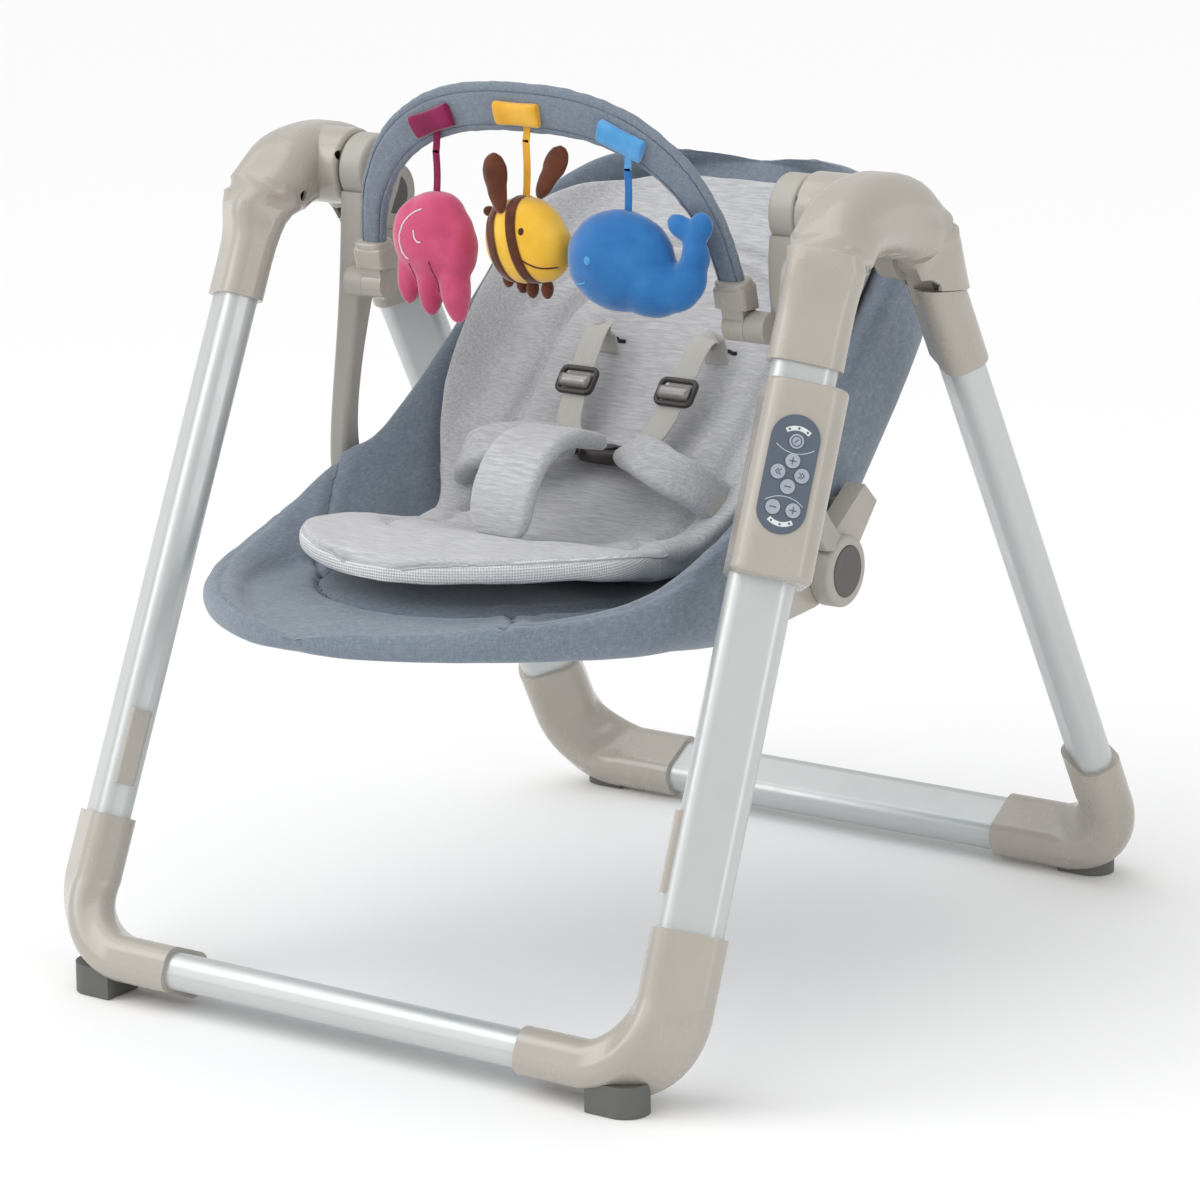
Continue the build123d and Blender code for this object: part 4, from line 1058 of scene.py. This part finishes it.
def band_tab(name, x, material, width=45.0, tall=21.0):
    """A short folded tab sewn round the band, with its ends gathered."""
    turn = np.linspace(0, 2 * math.pi, 28, endpoint=False)
    angle = math.acos((abs(x) / 186) ** 1.25)
    height = (arch(197, 199, angle)[1] + arch(174, 156, angle)[1]) / 2 - 3
    (right, low), (left, high) = arch(186, 178, angle - 0.05), arch(186, 178, angle + 0.05)
    slope = -math.atan((low - high) / (right - left + 1e-6)) * (1 if x > 0 else -1)
    rings = []
    for share in np.linspace(-1, 1, 30):
        gather = 1 - 0.07 * math.cos(share * math.pi / 2) ** 2
        thick = 7.5 + 2.0 * (1 - share ** 2)
        up = np.sin(turn)
        lift = np.sign(up) * np.abs(up) ** 0.7 * tall / 2 * gather
        out = 8.6 + np.sign(np.cos(turn)) * np.abs(np.cos(turn)) ** 0.7 * thick / 2
        dx = share * width / 2 + np.sin(turn * 2 + share * 3) * 0.5
        px = x + dx * math.cos(slope) + lift * math.sin(slope)
        rise = height + lift * math.cos(slope) - dx * math.sin(slope)
        rings.append(on_bar(px, rise, out))
    obj = loft(name, rings, "toy_bar", material, level=1)


def toys():
    y = TOY_Y
    # elephant, seen from its side: rounded back, trunk and two legs
    skin = plump("elephant_plush", [
        ((-94, y, 634), (41, 22, 38), 0), ((-90, y, 652), (28, 19, 22), 0), ((-119, y, 604), (11, 12, 31), 4),
        ((-97, y, 597), (11, 14, 32), 0), ((-72, y, 596), (13, 14, 35), -7), ((-66, y, 626), (14, 17, 27), 0),
    ], "elephant", "pink", "toy_pink", replaces=("elephant_toy",), smooth=6)
    for part, line, material, radius in (
            ("ear_stitch", [(-94, 660), (-104, 656), (-114, 646), (-118, 632), (-113, 618), (-108, 616)],
             "white", 0.7),
            ("eye_stitch", [(-100, 642), (-99, 636), (-96, 632), (-92, 632)], "white", 0.7),
            # painted shade: the two magenta fold lines darken the creases between the elephant's legs
            ("fold_front_shade", [(-108.5, 612), (-108, 600), (-108, 588)], "magenta", 0.6),
            ("fold_back_shade", [(-86, 616), (-85, 602), (-85, 588)], "magenta", 0.6)):
        surface_thread(f"elephant_{part}", skin, line, "elephant", material, radius)
    ribbon_loop("elephant_ribbon", -91, 708, 668, "elephant", "magenta")
    ribbon_loop("elephant_ribbon_top", -91, 738, 706, "toy_bar", "magenta")
    # bee
    skin = plump("bee_plush", [((2, y, 640), (38, 28, 37), -14), ((20, y, 634), (25, 25, 29), 0)],
                 "bee", "yellow", "toy_yellow", replaces=("bee_toy",))
    for number, (x0, x1) in enumerate(((-22, -12), (2, 12))):
        bee_stripe(number, skin, x0, x1)
    for number, (x, depth, z, half, tilt) in enumerate(((-14, -20, 689, 13, -8), (27, 0, 698, 11.5, 30))):
        plump(f"bee_wing_{number}", [((x, y + depth, z), (half * 0.8, 5, 27), tilt),
                                     ((x + tilt * 0.16, y + depth, z + 8), (half, 5.5, 18), tilt)],
              "bee", "brown", "toy_yellow", voxel=2.0, smooth=5)
    for number, (x, z) in enumerate(((-13, 607), (-1, 603), (12, 600), (24, 600))):
        plump(f"bee_foot_{number}", [((x, y - 5 + 4 * (number % 2), z), (5.5, 5.5, 9), 0)],
              "bee", "brown", "toy_yellow", voxel=1.6, smooth=4)
    plump("bee_sting", [((-36, y, 661), (6, 5, 5), 0)], "bee", "brown", "toy_yellow", voxel=1.5, smooth=3)
    dome("bee_eye", skin, 15, 651, (2.6, 3.2), "bee", "brown")
    surface_thread("bee_smile", skin, [(14, 627), (22, 623), (31, 620.5), (40, 621)], "bee", "brown", 0.8)
    ribbon_loop("bee_ribbon", 2, 724, 674, "bee", "gold")
    ribbon_loop("bee_ribbon_top", 2, 744, 722, "toy_bar", "gold")
    # whale
    skin = plump("whale_plush", [
        ((98, y, 631), (51, 29, 43), 0), ((124, y, 616), (38, 23, 29), 18), ((150, y, 612), (24, 16, 20), 0),
        ((166, y, 622), (15, 13, 20), 0), ((171, y, 640), (13, 12, 17), 0), ((169, y, 655), (9.5, 9, 12), 0),
        ((157, y, 664), (15, 8, 10), 26), ((176, y, 665), (11.5, 8, 14), 8),
    ], "whale", "blue", "toy_blue", replaces=("whale_toy",), smooth=10)
    dome("whale_eye", skin, 83, 634, (3.6, 3.6), "whale", "sky")
    surface_thread("whale_smile", skin, [(62, 610.5), (70, 611.5), (78, 614)], "whale", "sky", 0.7)
    ribbon_loop("whale_ribbon", 104, 708, 666, "whale", "blue")
    ribbon_loop("whale_ribbon_top", 104, 736, 706, "toy_bar", "sky")
    band_tab("tab_magenta", -92, "magenta")
    band_tab("tab_yellow", -2, "gold")
    band_tab("tab_blue", 99, "sky")


def bee_stripe(number, skin, x0, x1):
    """A brown band that hugs the bee's body."""
    points, _ = skin
    rings = []
    for x in np.linspace(x0, x1, 8):
        lean = 0.25
        ring = []
        edge = 0.2 if x in (x0, x1) else 0.9
        for angle in np.linspace(0, 2 * math.pi, 40, endpoint=False):
            direction = np.array([0, math.cos(angle), math.sin(angle)])
            centre = np.array([x, TOY_Y, 640.0])
            offset = points - centre
            offset[:, 0] += lean * offset[:, 2]
            radial = offset[:, 1] * direction[1] + offset[:, 2] * direction[2]
            off = offset - radial[:, None] * direction
            near = (np.linalg.norm(off, axis=1) < 4.5) & (radial > 0)
            reach = radial[near].max() if near.any() else 20
            point = centre + direction * (reach + edge)
            point[0] -= lean * (point[2] - 640.0)
            ring.append(point)
        rings.append(ring)
    loft(f"bee_stripe_{number}", rings, "bee", "brown", caps=False, slot="toy_yellow", level=1)


# ---- keypad print -------------------------------------------------------------------------------
def keypad_print():
    """Generic symbols on the keys, and the two arcs of lamps with their outlines."""
    def centre(node):
        low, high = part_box(node)
        return (np.array(low) + np.array(high)) / 2 / MM - SHIFT / MM

    press = -np.array(JOINTS["power_button_press"]["axis"], float)
    face = press if press[1] < 0 else -press
    top = centre("power_button")
    bottom = (centre("slower_button") + centre("faster_button")) / 2
    up = top - bottom
    up = up - face * np.dot(up, face)
    up /= np.linalg.norm(up)
    across = np.cross(up, face)
    across *= 1 if across[0] > 0 else -1

    def stroke(name, origin, flat, lift, body, material, width=1.0):
        path = np.array([origin + across * a + up * b + face * lift for a, b in flat])
        sweep(name, path, rounded(width, 0.3, 0.12, 2), body, material, up=tuple(face), uv=False,
              slot="keypad_film")

    bar = [(-2.9, 0), (0, 0), (2.9, 0)]
    post = [(0, -2.9), (0, 0), (0, 2.9)]
    ring = [(4.0 * math.cos(a), 4.0 * math.sin(a)) for a in np.linspace(0, 2 * math.pi, 33)]
    chevron = [(-0.4, -2.3), (2.0, 0), (-0.4, 2.3)]
    marks = {
        "power_button": [ring, [(-1.6, -1.6), (0, 0), (1.6, 1.6)]],
        "volume_up_button": [bar, post], "volume_down_button": [bar], "slower_button": [bar],
        "faster_button": [bar, post],
        "previous_button": [[(-a, b) for a, b in chevron], [(-a + 2.2, b) for a, b in chevron]],
        "next_button": [chevron, [(a - 2.2, b) for a, b in chevron]],
    }
    for node, strokes in marks.items():
        for number, flat in enumerate(strokes):
            stroke(f"{node}_mark_{number}", centre(node), flat, 2.95, node, "keypad")
    for name, middle, sign in (("top", top, 1), ("bottom", bottom, -1)):
        arc = np.linspace(math.radians(52), math.radians(128), 25)
        radius, drop = 15.5, 5.0 if sign > 0 else 4.0
        line = [(radius * math.cos(a), sign * (radius * math.sin(a) - drop)) for a in arc]
        if sign < 0:
            line = [(a, b - 1) for a, b in line]
        stroke(f"lamp_arc_{name}", middle, line, 2.0, "front_frame", "lamp", 3.8)
        for number, at in enumerate((3, 12, 21)):
            a, b = line[at]
            dot = [(a + 0.6 * math.cos(t), b + 0.6 * math.sin(t)) for t in np.linspace(0, 2 * math.pi, 13)]
            stroke(f"lamp_dot_{name}_{number}", middle, dot, 2.25, "front_frame", "keypad", 0.8)
        divide = np.linspace(math.radians(50), math.radians(130), 25)
        low = [(24 * math.cos(a), sign * (-24 * math.sin(a) + 14.0)) for a in divide]
        stroke(f"keypad_divider_{name}", middle, low, 2.0, "front_frame", "print", 0.55)


# ---- floor, lights and camera -----------------------------------------------------------------
def stage_set():
    size, count = 40.0, 40
    verts = [((i / count - 0.5) * size, (j / count - 0.5) * size, -0.0006)
             for i in range(count + 1) for j in range(count + 1)]
    faces = [(i * (count + 1) + j, (i + 1) * (count + 1) + j, (i + 1) * (count + 1) + j + 1, i * (count + 1) + j + 1)
             for i in range(count) for j in range(count)]
    data = bpy.data.meshes.new("floor")
    data.from_pydata(verts, [], faces)
    floor = bpy.data.objects.new("floor", data)
    bpy.context.scene.collection.objects.link(floor)
    mat, tree, shader = new_material("floor_paint")
    shader.inputs["Base Color"].default_value = (0.95, 0.95, 0.95, 1)
    shader.inputs["Roughness"].default_value = 0.9
    shader.inputs["Specular IOR Level"].default_value = 0.1
    data.materials.append(mat)


def area_light(name, where, target, power, size):
    data = bpy.data.lights.new(name, "AREA")
    data.shape = "RECTANGLE"
    data.size, data.size_y = size
    data.energy = power
    light = bpy.data.objects.new(name, data)
    bpy.context.scene.collection.objects.link(light)
    light.location = where
    light.rotation_euler = (Vector(target) - Vector(where)).to_track_quat("-Z", "Y").to_euler()
    return light


FOCAL_LENGTH = 4502 / 1200      # in widths of the frame


def lights_and_camera():
    world = bpy.data.worlds.new("studio")
    bpy.context.scene.world = world
    world.use_nodes = True
    background = world.node_tree.nodes["Background"]
    background.inputs["Color"].default_value = (1.0, 1.0, 1.0, 1)
    background.inputs["Strength"].default_value = 0.72
    sun = bpy.data.lights.new("sky_panel", "SUN")
    sun.energy, sun.angle = 1.15, math.radians(70)
    lamp = bpy.data.objects.new("sky_panel", sun)
    bpy.context.scene.collection.objects.link(lamp)
    lamp.rotation_euler = Vector((0.42, 0.5, -1)).to_track_quat("-Z", "Y").to_euler()
    area_light("softbox_left", (-1.9, -2.0, 1.9), (0, 0, 0.4), 14, (1.4, 1.8))
    area_light("softbox_right", (2.4, -0.9, 1.3), (0, 0, 0.4), 7, (0.7, 1.8))
    bpy.context.scene.view_settings.view_transform = "Standard"

    azimuth, elevation, roll = math.radians(34.22), math.radians(13.72), math.radians(-0.11)
    back = Vector((math.sin(azimuth) * math.cos(elevation), -math.cos(azimuth) * math.cos(elevation),
                   math.sin(elevation)))
    right = Vector((math.cos(azimuth), math.sin(azimuth), 0))
    up = back.cross(right)
    turned_right = right * math.cos(roll) + up * math.sin(roll)
    turned_up = up * math.cos(roll) - right * math.sin(roll)
    data = bpy.data.cameras.new("camera")
    data.sensor_width = 36.0
    data.lens = FOCAL_LENGTH * data.sensor_width
    data.clip_end = 50
    camera = bpy.data.objects.new("camera", data)
    bpy.context.scene.collection.objects.link(camera)
    matrix = Matrix((turned_right, turned_up, back)).transposed().to_4x4()
    matrix.translation = Vector(place((2153, -3191, 1241)))
    camera.matrix_world = matrix
    bpy.context.scene.camera = camera


dress_cad_nodes()
seat_shell()
seat_insert()
harness()
toy_bar()
toys()
keypad_print()
stage_set()
lights_and_camera()
